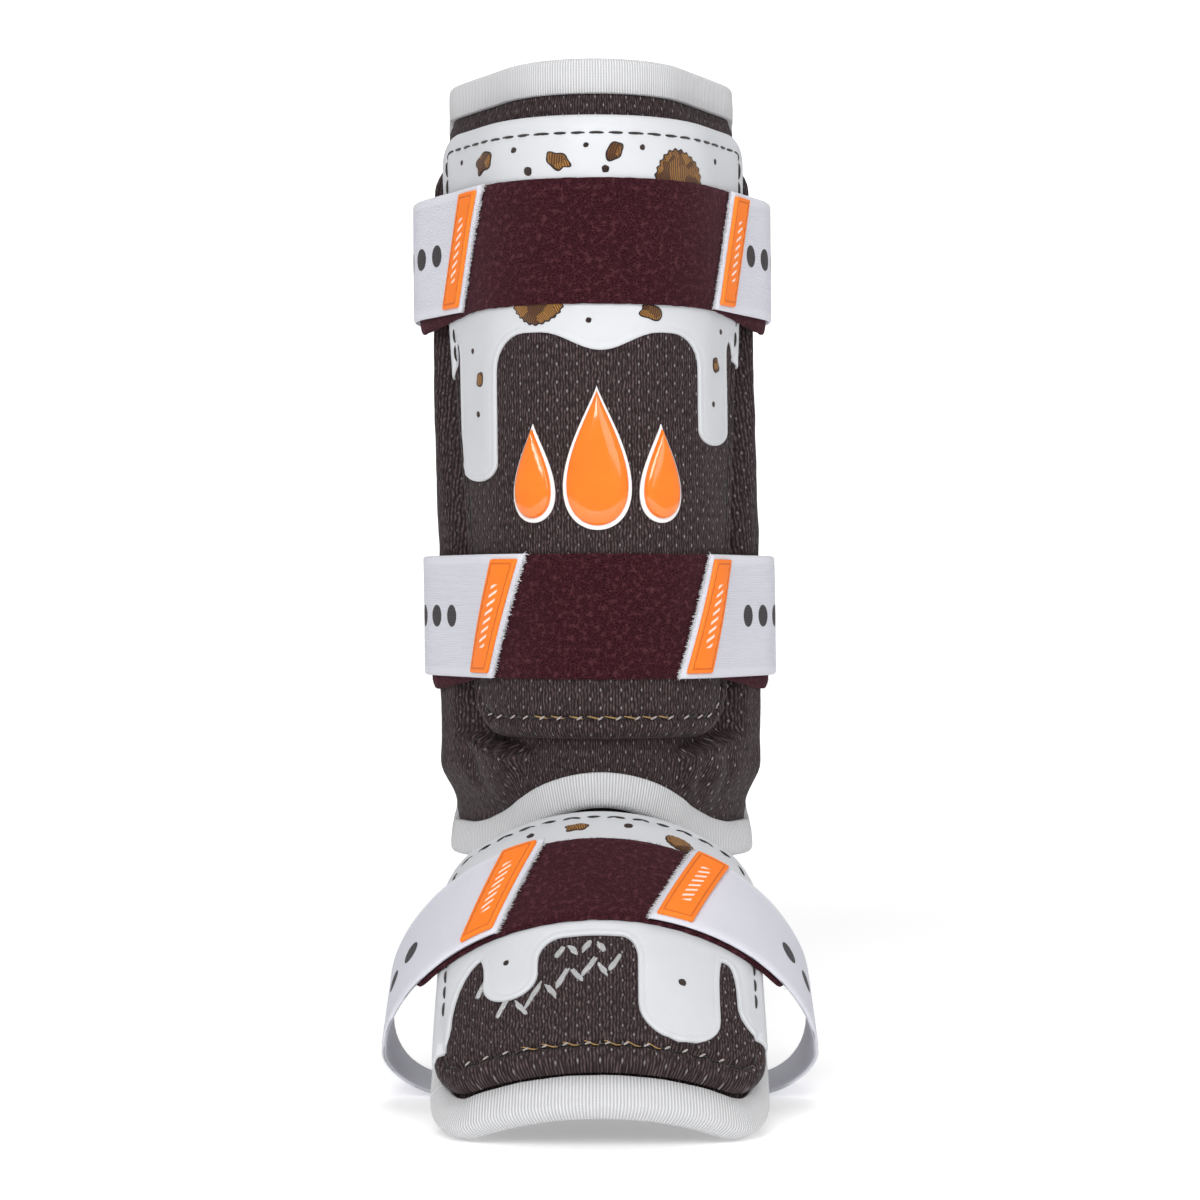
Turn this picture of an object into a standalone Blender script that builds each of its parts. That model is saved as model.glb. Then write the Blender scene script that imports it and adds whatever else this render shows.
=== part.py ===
"""Leg guard: a padded shin guard with side pillows, and a padded instep guard hinged below it.

Metres, +Z up. The front faces -Y and the leg goes in from behind. The guard stands on the toe of
its instep guard and on the strap that passes under the foot.

Two surfaces carry everything. The shin surface and the instep surface are the outer faces of the
two raised plates. Every layer lies a stated distance out from one of them.
"""

from functools import partial
from math import acos, cos, hypot, pi, radians, sin, sqrt

import bmesh
import bpy
from mathutils import Matrix, Vector

# Clearance between neighbours
GAP = 0.0003
# Clearance under the straps, where the hooks stand in the loop panels
HOOK_GAP = 0.0005
# Clearance of the tape, the vinyl and the shin plate, whose flat facets follow a curve
SEAM_GAP = 0.0006

# Shin surface, seen from above: a round front, straight sides and a turn to the back
FRONT_RADIUS = 0.0515
FRONT_TURN = radians(63)
SIDE_RUN = 0.0438
CORNER_RADIUS = 0.043
CORNER_TURN = radians(87)
SHIN_LEAN = -0.008
SHIN_TWIST = -0.025
TWIST_START = 0.190
TWIST_END = 0.310

# Shin pad
PAD_HALF = 0.136
PAD_TOP = 0.4150
ARCH_TOP = 0.1180
LOBE_BOTTOM = 0.0945
LOBE_PLACE = 0.094
PAD_CORNER = 0.024
PAD_WALL = 0.008
FLANGE_WALL = 0.006
PILLOW_WALL = 0.0182
PILLOW_TOP = 0.384
PILLOW_BOTTOM = 0.118
PILLOW_EDGE = 0.012
GROOVE = 0.0105
TOE_OF_PILLOW = 0.034
TOE_OF_PILLOW_TOP = 0.124

# Binding tape
TAPE_WIDTH = 0.0125
TAPE_WALL = 0.0014
FLANGE_WIDTH = 0.0210

# Shin plate
PLATE_WALL = 0.0097
PLATE_TOP = 0.3935
PLATE_BOTTOM = 0.1440
PLATE_HALF_TOP = 0.0965
PLATE_HALF_BOTTOM = 0.0745
PLATE_CORNER = 0.022
PLATE_TOP_CORNER = 0.014
PLATE_ROUND = 0.008
PLATE_RIM_DROP = 0.0055

# Thin layers over the plates
VINYL_WALL = 0.0007
LOOP_WALL = 0.0016
STRAP_WALL = 0.0018
TAB_WALL = 0.0014
STRAP_WIDTH = 0.050
TAB_WIDTH = 0.0135
TAB_HEIGHT = 0.046
TAB_INSET = 0.0018
END_SLANT = 0.018
LOOP_CORNER = 0.008

# Heights of the loop panels and straps on the shin, and where the strap ends lie round the front
UPPER_PANEL_HEIGHT = 0.3420
LOWER_PANEL_HEIGHT = 0.1930
UPPER_PANEL_HALF = 0.116
LOWER_PANEL_HALF = 0.112
PANEL_END_DROP = 0.006
UPPER_STRAP_ENDS = (-0.0575, 0.0615)
LOWER_STRAP_ENDS = (-0.0385, 0.0405)

# Drips of the vinyl on the shin, as seen from the front, and the shallow wave between them
SHIN_DRIP_LEVEL = 0.3060
SHIN_DRIP_FILLET = 0.005
SHIN_WAVE_REACH = 0.0075

# Raised motif on the shin, and its clearances from the lower loop panel and the vinyl's wave
MOTIF_CLEAR_BELOW = 0.0093
MOTIF_CLEAR_ABOVE = 0.0138
MOTIF_BASE_WALL = 0.0007
MOTIF_GEL_WALL = 0.0026
MOTIF_OUTLINE = 0.0017

# Instep surface: its top line slopes down and forward, and its sections are round
HINGE_HEIGHT = 0.1150
HINGE_SLOPE = radians(25)
INSTEP_BEND = 0.383
INSTEP_RADIUS_TOP = 0.080
INSTEP_RADIUS_TOE = 0.085

# Instep pad and plate, as distances along and across the instep surface
INSTEP_ROWS = 11
INSTEP_PAD_START = -0.012
INSTEP_PAD_END = 0.1535
INSTEP_PAD_HALF = 0.0815
INSTEP_PAD_CORNER = 0.024
INSTEP_TONGUE = 0.004
INSTEP_PLATE_START = -0.004
INSTEP_PLATE_END = 0.1405
INSTEP_PLATE_HALF = 0.073
INSTEP_PLATE_CORNER = 0.020
INSTEP_PLATE_WALL = 0.0070
INSTEP_DRIP_LEVEL = 0.080
INSTEP_DRIP_FILLET = 0.004

# Instep strap: the hoop over the instep and under the foot
HOOP_PLACE = 0.048
HOOP_TURN = radians(84)
HOOP_CORNER = 0.022
HOOP_SET_BACK = 0.014
HOOP_ENDS = (-0.0295, 0.0265)
INSTEP_PANEL_HALF = 0.082

# Fabric hinge between the two guards
HINGE_WALL = 0.0012
HINGE_HALF = 0.036
HINGE_DEPTH = 0.020

# Drips of the two vinyl covers: place across, half width and reach below the level
SHIN_DRIPS = (
    {"place": -0.0700, "half": 0.0090, "reach": 0.013},
    {"place": -0.0475, "half": 0.0070, "reach": 0.058},
    {"place": 0.0010, "half": 0.0240, "reach": SHIN_WAVE_REACH},
    {"place": 0.0455, "half": 0.0062, "reach": 0.044},
    {"place": 0.0690, "half": 0.0090, "reach": 0.012},
)
INSTEP_DRIPS = (
    {"place": -0.0700, "half": 0.0170, "reach": 0.034},
    {"place": -0.0330, "half": 0.0095, "reach": 0.026},
    {"place": 0.0290, "half": 0.0145, "reach": 0.048},
    {"place": 0.0640, "half": 0.0120, "reach": 0.030},
)

# Drops of the raised motif: place across and half width as shares of the half width between the long
# drips, and half height and rise as shares of the half height between the panel and the vinyl's wave
MOTIF_DROPS = (
    {"side": "left", "place": -0.665, "half": 0.22, "tall": 0.667, "rise": -0.222},
    {"side": "middle", "place": 0.0, "half": 0.34, "tall": 1.0, "rise": 0.0},
    {"side": "right", "place": 0.665, "half": 0.22, "tall": 0.667, "rise": -0.222},
)

# Rings of a drop: how far each shrinks from the outline, as shares of the half width, and its height
# as a share of the wall
MOTIF_FLOOR = ((0.8, 0.0), (0.4, 0.0), (0.0, 0.0))
MOTIF_FLAT = ((0.0, 1.0), (0.4, 1.0), (0.8, 1.0))
MOTIF_DOME = ((0.0, 0.4), (0.12, 0.8), (0.4, 1.0), (0.8, 1.0))

# Finishes: colour, roughness, metallic
MESH_BROWN = ((0.045, 0.032, 0.030), 0.85, 0.0)
TAPE_GREY = ((0.70, 0.70, 0.71), 0.75, 0.0)
VINYL_WHITE = ((0.86, 0.86, 0.88), 0.35, 0.0)
LOOP_BURGUNDY = ((0.048, 0.012, 0.018), 0.95, 0.0)
ELASTIC_WHITE = ((0.78, 0.77, 0.84), 0.80, 0.0)
RUBBER_ORANGE = ((0.95, 0.28, 0.03), 0.45, 0.0)
GEL_ORANGE = ((1.0, 0.27, 0.02), 0.12, 0.0)


class Track:
    """A line seen from above that starts at the front and bends back, with exact parallel lines."""

    def __init__(self, pieces):
        self.pieces = pieces

    def at(self, distance, out=0.0):
        """Across and depth of the point at a distance along the line and a height out from it."""
        side = -1 if distance < 0 else 1
        rest = abs(distance)
        across = depth = turn = 0.0
        for run, radius in self.pieces:
            step = min(rest, run)
            if radius:
                swing = turn + step / radius
                across += radius * (sin(swing) - sin(turn))
                depth += radius * (cos(turn) - cos(swing))
                turn = swing
            else:
                across += step * cos(turn)
                depth += step * sin(turn)
            rest -= step
            if rest <= 0:
                break
        return side * (across + out * sin(turn)), depth - out * cos(turn)

    def length(self):
        return sum(run for run, radius in self.pieces)

    def stations(self, start, end, step):
        """Distances from start to end, with one at each joint between two pieces of the line."""
        joints = [0.0]
        for run, radius in self.pieces:
            joints.append(joints[-1] + run)
        marks = sorted({-j for j in joints} | set(joints))
        marks = [start] + [m for m in marks if start + step / 3 < m < end - step / 3] + [end]
        return [m for a, b in zip(marks, marks[1:]) for m in split(a, b, step)] + [end]


def split(a, b, step):
    """Even positions from a towards b, without b, no more than a step apart."""
    count = max(1, round(abs(b - a) / step + 0.35))
    return [a + (b - a) * k / count for k in range(count)]


def closed_round(front_radius, front_turn, run, corner_radius, corner_turn):
    """A whole loop: round front, straight side, round corner and a flat round back that meets itself."""
    reach = front_radius * sin(front_turn) + run * cos(front_turn)
    reach += corner_radius * (sin(front_turn + corner_turn) - sin(front_turn))
    left = pi - front_turn - corner_turn
    back_radius = reach / sin(left)
    return Track([
        (front_radius * front_turn, front_radius),
        (run, None),
        (corner_radius * corner_turn, corner_radius),
        (back_radius * left, back_radius),
    ])


# Lines along the straps, as heights from their middles
STRAP_ROWS = [-STRAP_WIDTH / 2, 0, STRAP_WIDTH / 2]
INSTEP_STRAP_ROWS = [STRAP_WIDTH * share for share in (-0.5, -0.17, 0.17, 0.5)]

# Inner faces of the two pads, as heights out from the two surfaces
SHIN_INSIDE = -PLATE_WALL - SEAM_GAP - PAD_WALL
INSTEP_INSIDE = -INSTEP_PLATE_WALL - GAP - TAPE_WALL - SEAM_GAP - FLANGE_WALL

SHIN_TRACK = closed_round(FRONT_RADIUS, FRONT_TURN, SIDE_RUN, CORNER_RADIUS, CORNER_TURN)


def ease(value, start, end):
    """0 before start, 1 after end and smooth between."""
    share = min(1.0, max(0.0, (value - start) / (end - start)))
    return share * share * (3 - 2 * share)


def on_shin(along, height, out):
    """A point out from the shin surface, which leans and twists a little towards its top."""
    across, depth = SHIN_TRACK.at(along, out)
    twist = SHIN_TWIST * ease(height, TWIST_START, TWIST_END)
    across += SHIN_LEAN * (height - TWIST_START) + twist * depth
    return Vector((across, depth, height))


def instep_frame(along):
    """Top point, forward direction and outward direction of the instep surface."""
    slope = HINGE_SLOPE + along / INSTEP_BEND
    top = Vector((
        0,
        INSTEP_BEND * (sin(HINGE_SLOPE) - sin(slope)),
        HINGE_HEIGHT - INSTEP_BEND * (cos(HINGE_SLOPE) - cos(slope)),
    ))
    return top, Vector((0, -cos(slope), -sin(slope))), Vector((0, -sin(slope), cos(slope)))


def on_instep(along, across, out):
    """A point out from the instep surface."""
    top, forward, outward = instep_frame(along)
    share = along / INSTEP_PAD_END
    radius = INSTEP_RADIUS_TOP + (INSTEP_RADIUS_TOE - INSTEP_RADIUS_TOP) * share
    turn = across / radius
    drop = radius - (radius + out) * cos(turn)
    return top + Vector(((radius + out) * sin(turn), 0, 0)) - outward * drop


# Outlines on a surface

def corner_drop(place, half, corner):
    """How far a round corner pulls an edge in, at a place between -half and half."""
    past = min(corner, abs(place) - (half - corner))
    return corner - sqrt(corner * corner - past * past) if past > 0 else 0.0


def corner_spaced(half, corner, middle, step, turns=3):
    """Positions from -half to half: the middle ones as given, and closer ones round the corners."""
    inner = half - corner
    bend = [inner + corner * sin(pi / 2 * k / turns) for k in range(1, turns + 1)]
    flat = [m for m in middle if abs(m) < inner - step / 3]
    return [-b for b in reversed(bend)] + [-inner] + flat + [inner] + bend


def edge_spaced(count, rim, length):
    """Shares from 0 to 1 with two close rows inside each end, for an edge that is rounded."""
    rows = [rim * share / length for share in (0, 0.2, 1)]
    middle = [rows[-1] + (1 - 2 * rows[-1]) * k / count for k in range(1, count)]
    return rows + middle + [1 - r for r in reversed(rows)]


def shin_pad_low(along):
    """Lower edge of the shin pad: an arch over the instep that falls to a lobe at each ankle."""
    share = min(1.0, abs(along) / LOBE_PLACE)
    arch = ARCH_TOP - (ARCH_TOP - LOBE_BOTTOM) * (1 - cos(pi * share)) / 2
    return arch + corner_drop(along, PAD_HALF, PAD_CORNER)


def shin_pad_high(along):
    return PAD_TOP - corner_drop(along, PAD_HALF, PAD_CORNER)


def plate_half(height):
    """Half of the shin plate's width, which narrows downwards."""
    share = (height - PLATE_BOTTOM) / (PLATE_TOP - PLATE_BOTTOM)
    return PLATE_HALF_BOTTOM + (PLATE_HALF_TOP - PLATE_HALF_BOTTOM) * ease(share, 0, 1)


def pillow_share(along, height):
    """How much of a side pillow's extra thickness the shin pad has at a point."""
    inner = plate_half(min(PLATE_TOP, max(PLATE_BOTTOM, height))) + GROOVE
    foot = 1 - ease(height, TOE_OF_PILLOW_TOP - PILLOW_EDGE, TOE_OF_PILLOW_TOP + PILLOW_EDGE)
    inner -= TOE_OF_PILLOW * foot
    outer = PAD_HALF - TAPE_WIDTH
    across = ease(abs(along), inner, inner + PILLOW_EDGE) * (1 - ease(abs(along), outer - PILLOW_EDGE, outer))
    low = max(PILLOW_BOTTOM, shin_pad_low(along) + FLANGE_WIDTH)
    upright = ease(height, low, low + 2 * PILLOW_EDGE) * (1 - ease(height, PILLOW_TOP - PILLOW_EDGE, PILLOW_TOP))
    return across * upright


def square_to(edge, along, upright):
    """Distance from a sloping edge, from the upright distance to it."""
    step = GAP
    near, far = max(-PAD_HALF, along - step), min(PAD_HALF, along + step)
    return upright / hypot(1, (edge(far) - edge(near)) / (far - near))


def shin_pad_wall(along, height):
    """Thickness of the shin pad: a thin flange under the tape, then the base or a pillow."""
    low_inset = square_to(shin_pad_low, along, height - shin_pad_low(along))
    high_inset = square_to(shin_pad_high, along, shin_pad_high(along) - height)
    inset = min(low_inset, high_inset, PAD_HALF - abs(along))
    base = FLANGE_WALL + (PAD_WALL - FLANGE_WALL) * ease(inset, FLANGE_WIDTH, FLANGE_WIDTH + PILLOW_EDGE)
    return base + (PILLOW_WALL - PAD_WALL) * pillow_share(along, height)


def round_over(inset):
    """How far a plate's face falls near its edge."""
    share = min(1.0, max(0.0, inset / PLATE_ROUND))
    return PLATE_RIM_DROP * (1 - sqrt(1 - (1 - share) ** 2))


def plate_point(across_share, rise_share):
    """Place on the shin plate and its inset from the edge, from two shares of its outline."""
    height = PLATE_BOTTOM + (PLATE_TOP - PLATE_BOTTOM) * rise_share
    half = plate_half(height)
    along = half * across_share
    low = PLATE_BOTTOM + corner_drop(along, half, PLATE_CORNER)
    high = PLATE_TOP - corner_drop(along, half, PLATE_TOP_CORNER)
    height = low + (high - low) * rise_share
    inset = min(height - low, high - height, (1 - abs(across_share)) * half)
    return along, height, inset


def instep_pad_end(across):
    """Front edge of the instep pad: a wide round tongue."""
    tongue = INSTEP_TONGUE * (across / INSTEP_PAD_HALF) ** 2
    return INSTEP_PAD_END - tongue - corner_drop(across, INSTEP_PAD_HALF, INSTEP_PAD_CORNER)


def instep_pad_start(across):
    return INSTEP_PAD_START + corner_drop(across, INSTEP_PAD_HALF, INSTEP_PAD_CORNER / 2)


def instep_plate_point(across_share, back_share):
    """Place on the instep plate and its inset from the edge, from two shares of its outline."""
    across = INSTEP_PLATE_HALF * across_share
    drop = corner_drop(across, INSTEP_PLATE_HALF, INSTEP_PLATE_CORNER)
    front = INSTEP_PLATE_END - INSTEP_TONGUE * across_share ** 2 - drop
    back = INSTEP_PLATE_START + drop
    along = front + (back - front) * back_share
    inset = min(front - along, along - back, INSTEP_PLATE_HALF - abs(across))
    return along, across, inset


# Making meshes and objects

def make_collection(name):
    collection = bpy.data.collections.new(name)
    bpy.context.scene.collection.children.link(collection)
    return collection


def make_material(name, finish):
    colour, roughness, metallic = finish
    material = bpy.data.materials.new(name)
    material.use_nodes = True
    shader = material.node_tree.nodes["Principled BSDF"]
    shader.inputs["Base Color"].default_value = (*colour, 1)
    shader.inputs["Roughness"].default_value = roughness
    shader.inputs["Metallic"].default_value = metallic
    return material


def add_object(name, mesh, finish, collection, parent):
    """A named object with its own material and its origin in the middle of its mesh."""
    corners = [v.co for v in mesh.vertices]
    middle = Vector([(min(c[k] for c in corners) + max(c[k] for c in corners)) / 2 for k in range(3)])
    mesh.transform(Matrix.Translation(-middle))
    mesh.materials.append(make_material(name, finish))
    mesh.shade_smooth()
    mesh.set_sharp_from_angle(angle=radians(40))
    piece = bpy.data.objects.new(name, mesh)
    piece.location = middle
    piece.parent = parent
    collection.objects.link(piece)
    return piece


def grid_mesh(name, columns, rows, place, share=None, trims=()):
    """A flat grid, trimmed along slanted lines and bent so that each point lies where place puts it."""
    form = bmesh.new()
    bmesh.ops.create_grid(form, x_segments=len(columns) - 1, y_segments=len(rows) - 1, size=1)
    layer = form.verts.layers.deform.verify() if share else None
    for vertex in form.verts:
        column = columns[round((vertex.co.x + 1) / 2 * (len(columns) - 1))]
        row = rows[round((vertex.co.y + 1) / 2 * (len(rows) - 1))]
        vertex.co = (column, row, 0)
    for along, side in trims:
        parts = form.verts[:] + form.edges[:] + form.faces[:]
        away = (side * STRAP_WIDTH, -side * END_SLANT, 0)
        bmesh.ops.bisect_plane(form, geom=parts, plane_co=(along, 0, 0), plane_no=away, clear_outer=True)
    for vertex in form.verts:
        column, row = vertex.co.x, vertex.co.y
        if share:
            vertex[layer][0] = share(column, row)
        vertex.co = place(column, row)
    mesh = bpy.data.meshes.new(name)
    form.to_mesh(mesh)
    form.free()
    return mesh


def bent_sheet(name, columns, rows, place, wall, finish, home, share=None, trims=()):
    """A sheet of a given wall that grows outwards, all over or by its share of the wall."""
    mesh = grid_mesh(name, columns, rows, place, share, trims)
    piece = add_object(name, mesh, finish, *home)
    solid = piece.modifiers.new("wall", "SOLIDIFY")
    solid.thickness = wall
    solid.offset = 1
    if share:
        piece.vertex_groups.new(name="wall share")
        solid.vertex_group = "wall share"
    return piece


def loft(name, rings, finish, home, closed=False):
    """A skin through rings of equal count, closed into a loop or capped at both ends."""
    form = bmesh.new()
    loops = [[form.verts.new(p) for p in ring] for ring in rings]
    pairs = list(zip(loops, loops[1:]))
    if closed:
        pairs.append((loops[-1], loops[0]))
    for a, b in pairs:
        for k in range(len(a)):
            n = (k + 1) % len(a)
            form.faces.new((a[k], a[n], b[n], b[k]))
    if not closed:
        form.faces.new(list(reversed(loops[0])))
        form.faces.new(loops[-1])
    bmesh.ops.recalc_face_normals(form, faces=form.faces)
    mesh = bpy.data.meshes.new(name)
    form.to_mesh(mesh)
    form.free()
    return add_object(name, mesh, finish, *home)


# Binding tape

def tape_profile(base, wall):
    """Half-open sleeve round an edge: distance past the edge, and height out from the surface."""
    low = base - SEAM_GAP
    high = base + wall + SEAM_GAP
    return [
        (-TAPE_WIDTH, high), (SEAM_GAP, high), (SEAM_GAP, low), (-TAPE_WIDTH, low),
        (-TAPE_WIDTH, low - TAPE_WALL), (SEAM_GAP, low - TAPE_WALL),
        (SEAM_GAP + TAPE_WALL, low), (SEAM_GAP + TAPE_WALL, high),
        (SEAM_GAP, high + TAPE_WALL), (-TAPE_WIDTH, high + TAPE_WALL),
    ]


def tape(name, rim, place, base, wall, home):
    """Tape sewn round a closed rim, given as points on a surface that place bends."""
    profile = tape_profile(base, wall)
    rings = []
    for k, (u, v) in enumerate(rim):
        before = rim[k - 1]
        after = rim[(k + 1) % len(rim)]
        du, dv = after[0] - before[0], after[1] - before[1]
        size = hypot(du, dv)
        outward = (dv / size, -du / size)
        rings.append([place(u + outward[0] * past, v + outward[1] * past, out) for past, out in profile])
    return loft(name, rings, TAPE_GREY, home, closed=True)


def rim_of(columns, shares, low, high):
    """Points round an outline, anticlockwise: its lower edge, right side, upper edge and left side."""
    first, last = columns[0], columns[-1]
    inner = shares[1:-1]
    return (
        [(c, low(c)) for c in columns]
        + [(last, low(last) + (high(last) - low(last)) * share) for share in inner]
        + [(c, high(c)) for c in reversed(columns)]
        + [(first, low(first) + (high(first) - low(first)) * share) for share in reversed(inner)]
    )


# Shin guard

def shin_pad_columns():
    """Places across the shin pad, with one just inside the tape at each side."""
    step = 0.0105
    spaced = corner_spaced(PAD_HALF, PAD_CORNER, SHIN_TRACK.stations(-PAD_HALF, PAD_HALF, step), step)
    inner = PAD_HALF - TAPE_WIDTH - 2 * GAP
    clear = [s for s in spaced if abs(abs(s) - inner) > 0.002]
    return sorted(clear + [-inner, inner])


def shin_pad_rows():
    """Shares of the shin pad's height for its rows, with one just inside the flange at each end."""
    rim = FLANGE_WIDTH / (PAD_TOP - LOBE_BOTTOM)
    return [0, rim, 0.095, 0.13, 0.19, 0.28, 0.40, 0.52, 0.64, 0.76, 0.85, 0.91, 1 - rim, 1]


def make_shin_pad(home):
    def place(along, share):
        low, high = shin_pad_low(along), shin_pad_high(along)
        return on_shin(along, low + (high - low) * share, SHIN_INSIDE)

    def share_of_wall(along, share):
        low, high = shin_pad_low(along), shin_pad_high(along)
        return shin_pad_wall(along, low + (high - low) * share) / PILLOW_WALL

    return bent_sheet(
        "shin_pad", shin_pad_columns(), shin_pad_rows(), place, PILLOW_WALL, MESH_BROWN, home, share_of_wall
    )


def make_shin_binding(home):
    rim = rim_of(shin_pad_columns(), shin_pad_rows(), shin_pad_low, shin_pad_high)
    return tape("shin_binding", rim, on_shin, SHIN_INSIDE, FLANGE_WALL, home)


def plate_shares():
    columns = edge_spaced(17, PLATE_ROUND, PLATE_HALF_TOP * 2)
    return [2 * c - 1 for c in columns], edge_spaced(9, PLATE_ROUND, PLATE_TOP - PLATE_BOTTOM)


def make_shin_plate(home):
    def place(across_share, rise_share):
        along, height, inset = plate_point(across_share, rise_share)
        return on_shin(along, height, -PLATE_WALL)

    def share_of_wall(across_share, rise_share):
        along, height, inset = plate_point(across_share, rise_share)
        return 1 - round_over(inset) / PLATE_WALL

    return bent_sheet("shin_plate", *plate_shares(), place, PLATE_WALL, MESH_BROWN, home, share_of_wall)


def make_shin_overlay(home, cutters):
    def place(across_share, rise_share):
        along, height, inset = plate_point(across_share, rise_share)
        return on_shin(along, height, SEAM_GAP - round_over(inset))

    columns, rows = plate_shares()
    columns = columns[1:-1]
    rows = [r for r in rows if 0.3 < r < 1]
    overlay = bent_sheet("shin_overlay", columns, rows, place, VINYL_WALL, VINYL_WHITE, home)
    edge = drip_edge(SHIN_DRIPS, SHIN_DRIP_FILLET)
    outline = [(x, SHIN_DRIP_LEVEL - y) for x, y in edge]
    outline += [(edge[-1][0], PLATE_TOP + GROOVE), (edge[0][0], PLATE_TOP + GROOVE)]
    upright = Matrix.Rotation(pi / 2, 4, "X")
    keep_inside(overlay, prism("shin_drips", outline, PLATE_HALF_TOP, upright, cutters))
    return overlay


def make_loop_panel(name, middle, half, out, home):
    """Fuzzy panel round the shin, its lower edge a little deeper at its ends."""
    def place(along, share):
        rounding = corner_drop(along, half, LOOP_CORNER)
        dip = PANEL_END_DROP * ease(abs(along), FRONT_RADIUS, half)
        low = middle - STRAP_WIDTH / 2 - dip + rounding
        high = middle + STRAP_WIDTH / 2 - rounding
        return on_shin(along, low + (high - low) * share, out)

    columns = corner_spaced(half, LOOP_CORNER, SHIN_TRACK.stations(-half, half, 0.008), 0.008, 2)
    return bent_sheet(name, columns, [0, 0.5, 1], place, LOOP_WALL, LOOP_BURGUNDY, home)


def make_strap(name, track, ends, spot, rows, home):
    """Elastic strap from its right end round the back to its left end, both ends slanted."""
    whole = 2 * track.length()

    def place(along, rise):
        return spot(along if along < whole / 2 else along - whole, rise)

    start, finish = ends[1] - END_SLANT, ends[0] + whole + END_SLANT
    stations = track.stations(-track.length(), track.length(), 0.0095)[1:]
    round_back = sorted(s if s > 0 else s + whole for s in stations)
    columns = [start] + [s for s in round_back if start + 0.003 < s < finish - 0.003] + [finish]
    trims = ((ends[1], -1), (ends[0] + whole, 1))
    bent_sheet(name, columns, rows, place, STRAP_WALL, ELASTIC_WHITE, home, trims=trims)


def make_tab(name, end, side, spot, home):
    """Rubber tab beside a strap's end, slanted as the end is."""
    near, far = end + side * TAB_INSET, end + side * (TAB_INSET + TAB_WIDTH)
    low, high = min(near, far), max(near, far)
    lean = END_SLANT / 2
    columns = split(low - lean, high + lean, 0.0065) + [high + lean]
    rows = [TAB_HEIGHT * share for share in (-0.5, -0.25, 0, 0.25, 0.5)]
    bent_sheet(name, columns, rows, spot, TAB_WALL, RUBBER_ORANGE, home, trims=((low, -1), (high, 1)))


def make_shin_straps(home):
    upper_out = SEAM_GAP + VINYL_WALL + GAP
    lower_out = GAP
    rows = (
        ("upper", UPPER_PANEL_HEIGHT, UPPER_PANEL_HALF, UPPER_STRAP_ENDS, upper_out),
        ("lower", LOWER_PANEL_HEIGHT, LOWER_PANEL_HALF, LOWER_STRAP_ENDS, lower_out),
    )
    for level, middle, half, ends, out in rows:
        strap_out = out + LOOP_WALL + HOOK_GAP
        tab_out = strap_out + STRAP_WALL + GAP
        make_loop_panel(f"loop_panel_{level}", middle, half, out, home)
        strap_spot = partial(on_shin_band, middle, strap_out)
        tab_spot = partial(on_shin_band, middle, tab_out)
        make_strap(f"strap_{level}", SHIN_TRACK, ends, strap_spot, STRAP_ROWS, home)
        make_tab(f"tab_{level}_left", ends[0], -1, tab_spot, home)
        make_tab(f"tab_{level}_right", ends[1], 1, tab_spot, home)


def on_shin_band(middle, out, along, rise):
    """A point of a band round the shin, at a rise above its middle."""
    return on_shin(along, middle + rise, out)


def on_instep_band(out, across, back):
    """A point of a band over the instep, at a distance back from its middle."""
    return on_instep(HOOP_PLACE - back, across, out)


def motif_field():
    """Where the motif fits: its middle across, half width, middle height and half height."""
    left, right = SHIN_DRIPS[1], SHIN_DRIPS[3]
    start, end = left["place"] + left["half"], right["place"] - right["half"]
    low = LOWER_PANEL_HEIGHT + STRAP_WIDTH / 2 + MOTIF_CLEAR_BELOW + MOTIF_OUTLINE
    high = SHIN_DRIP_LEVEL - SHIN_WAVE_REACH - MOTIF_CLEAR_ABOVE - MOTIF_OUTLINE
    return (start + end) / 2, (end - start) / 2, (low + high) / 2, (high - low) / 2


def drop_ring(drop, shrink, grow, height, turns=18):
    """One ring of a drop-shaped pad on the shin: a share smaller, grown past that by a length, and lifted."""
    middle, across_field, level, upright_field = motif_field()
    half, tall = drop["half"] * across_field, drop["tall"] * upright_field
    grow -= half * shrink
    ring = []
    for k in range(turns):
        angle = 2 * pi * k / turns
        wide = sin(angle) * abs(sin(angle / 2)) ** 1.4 / 0.79
        across = middle + drop["place"] * across_field + (half + grow) * wide
        rise = drop["rise"] * upright_field + (tall + grow) * cos(angle)
        ring.append(on_shin(across, level + rise, height))
    return ring


def make_motif(home):
    """Three glossy drops on white bases."""
    base_out = GAP
    gel_out = base_out + MOTIF_BASE_WALL + GAP
    for drop in MOTIF_DROPS:
        base = [
            drop_ring(drop, shrink, MOTIF_OUTLINE, base_out + MOTIF_BASE_WALL * lift)
            for shrink, lift in MOTIF_FLOOR + MOTIF_FLAT
        ]
        loft(f"motif_base_{drop['side']}", base, VINYL_WHITE, home)
        gel = [
            drop_ring(drop, shrink, 0, gel_out + MOTIF_GEL_WALL * lift)
            for shrink, lift in MOTIF_FLOOR + MOTIF_DOME
        ]
        loft(f"motif_gel_{drop['side']}", gel, GEL_ORANGE, home)


# Drip edges

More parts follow.
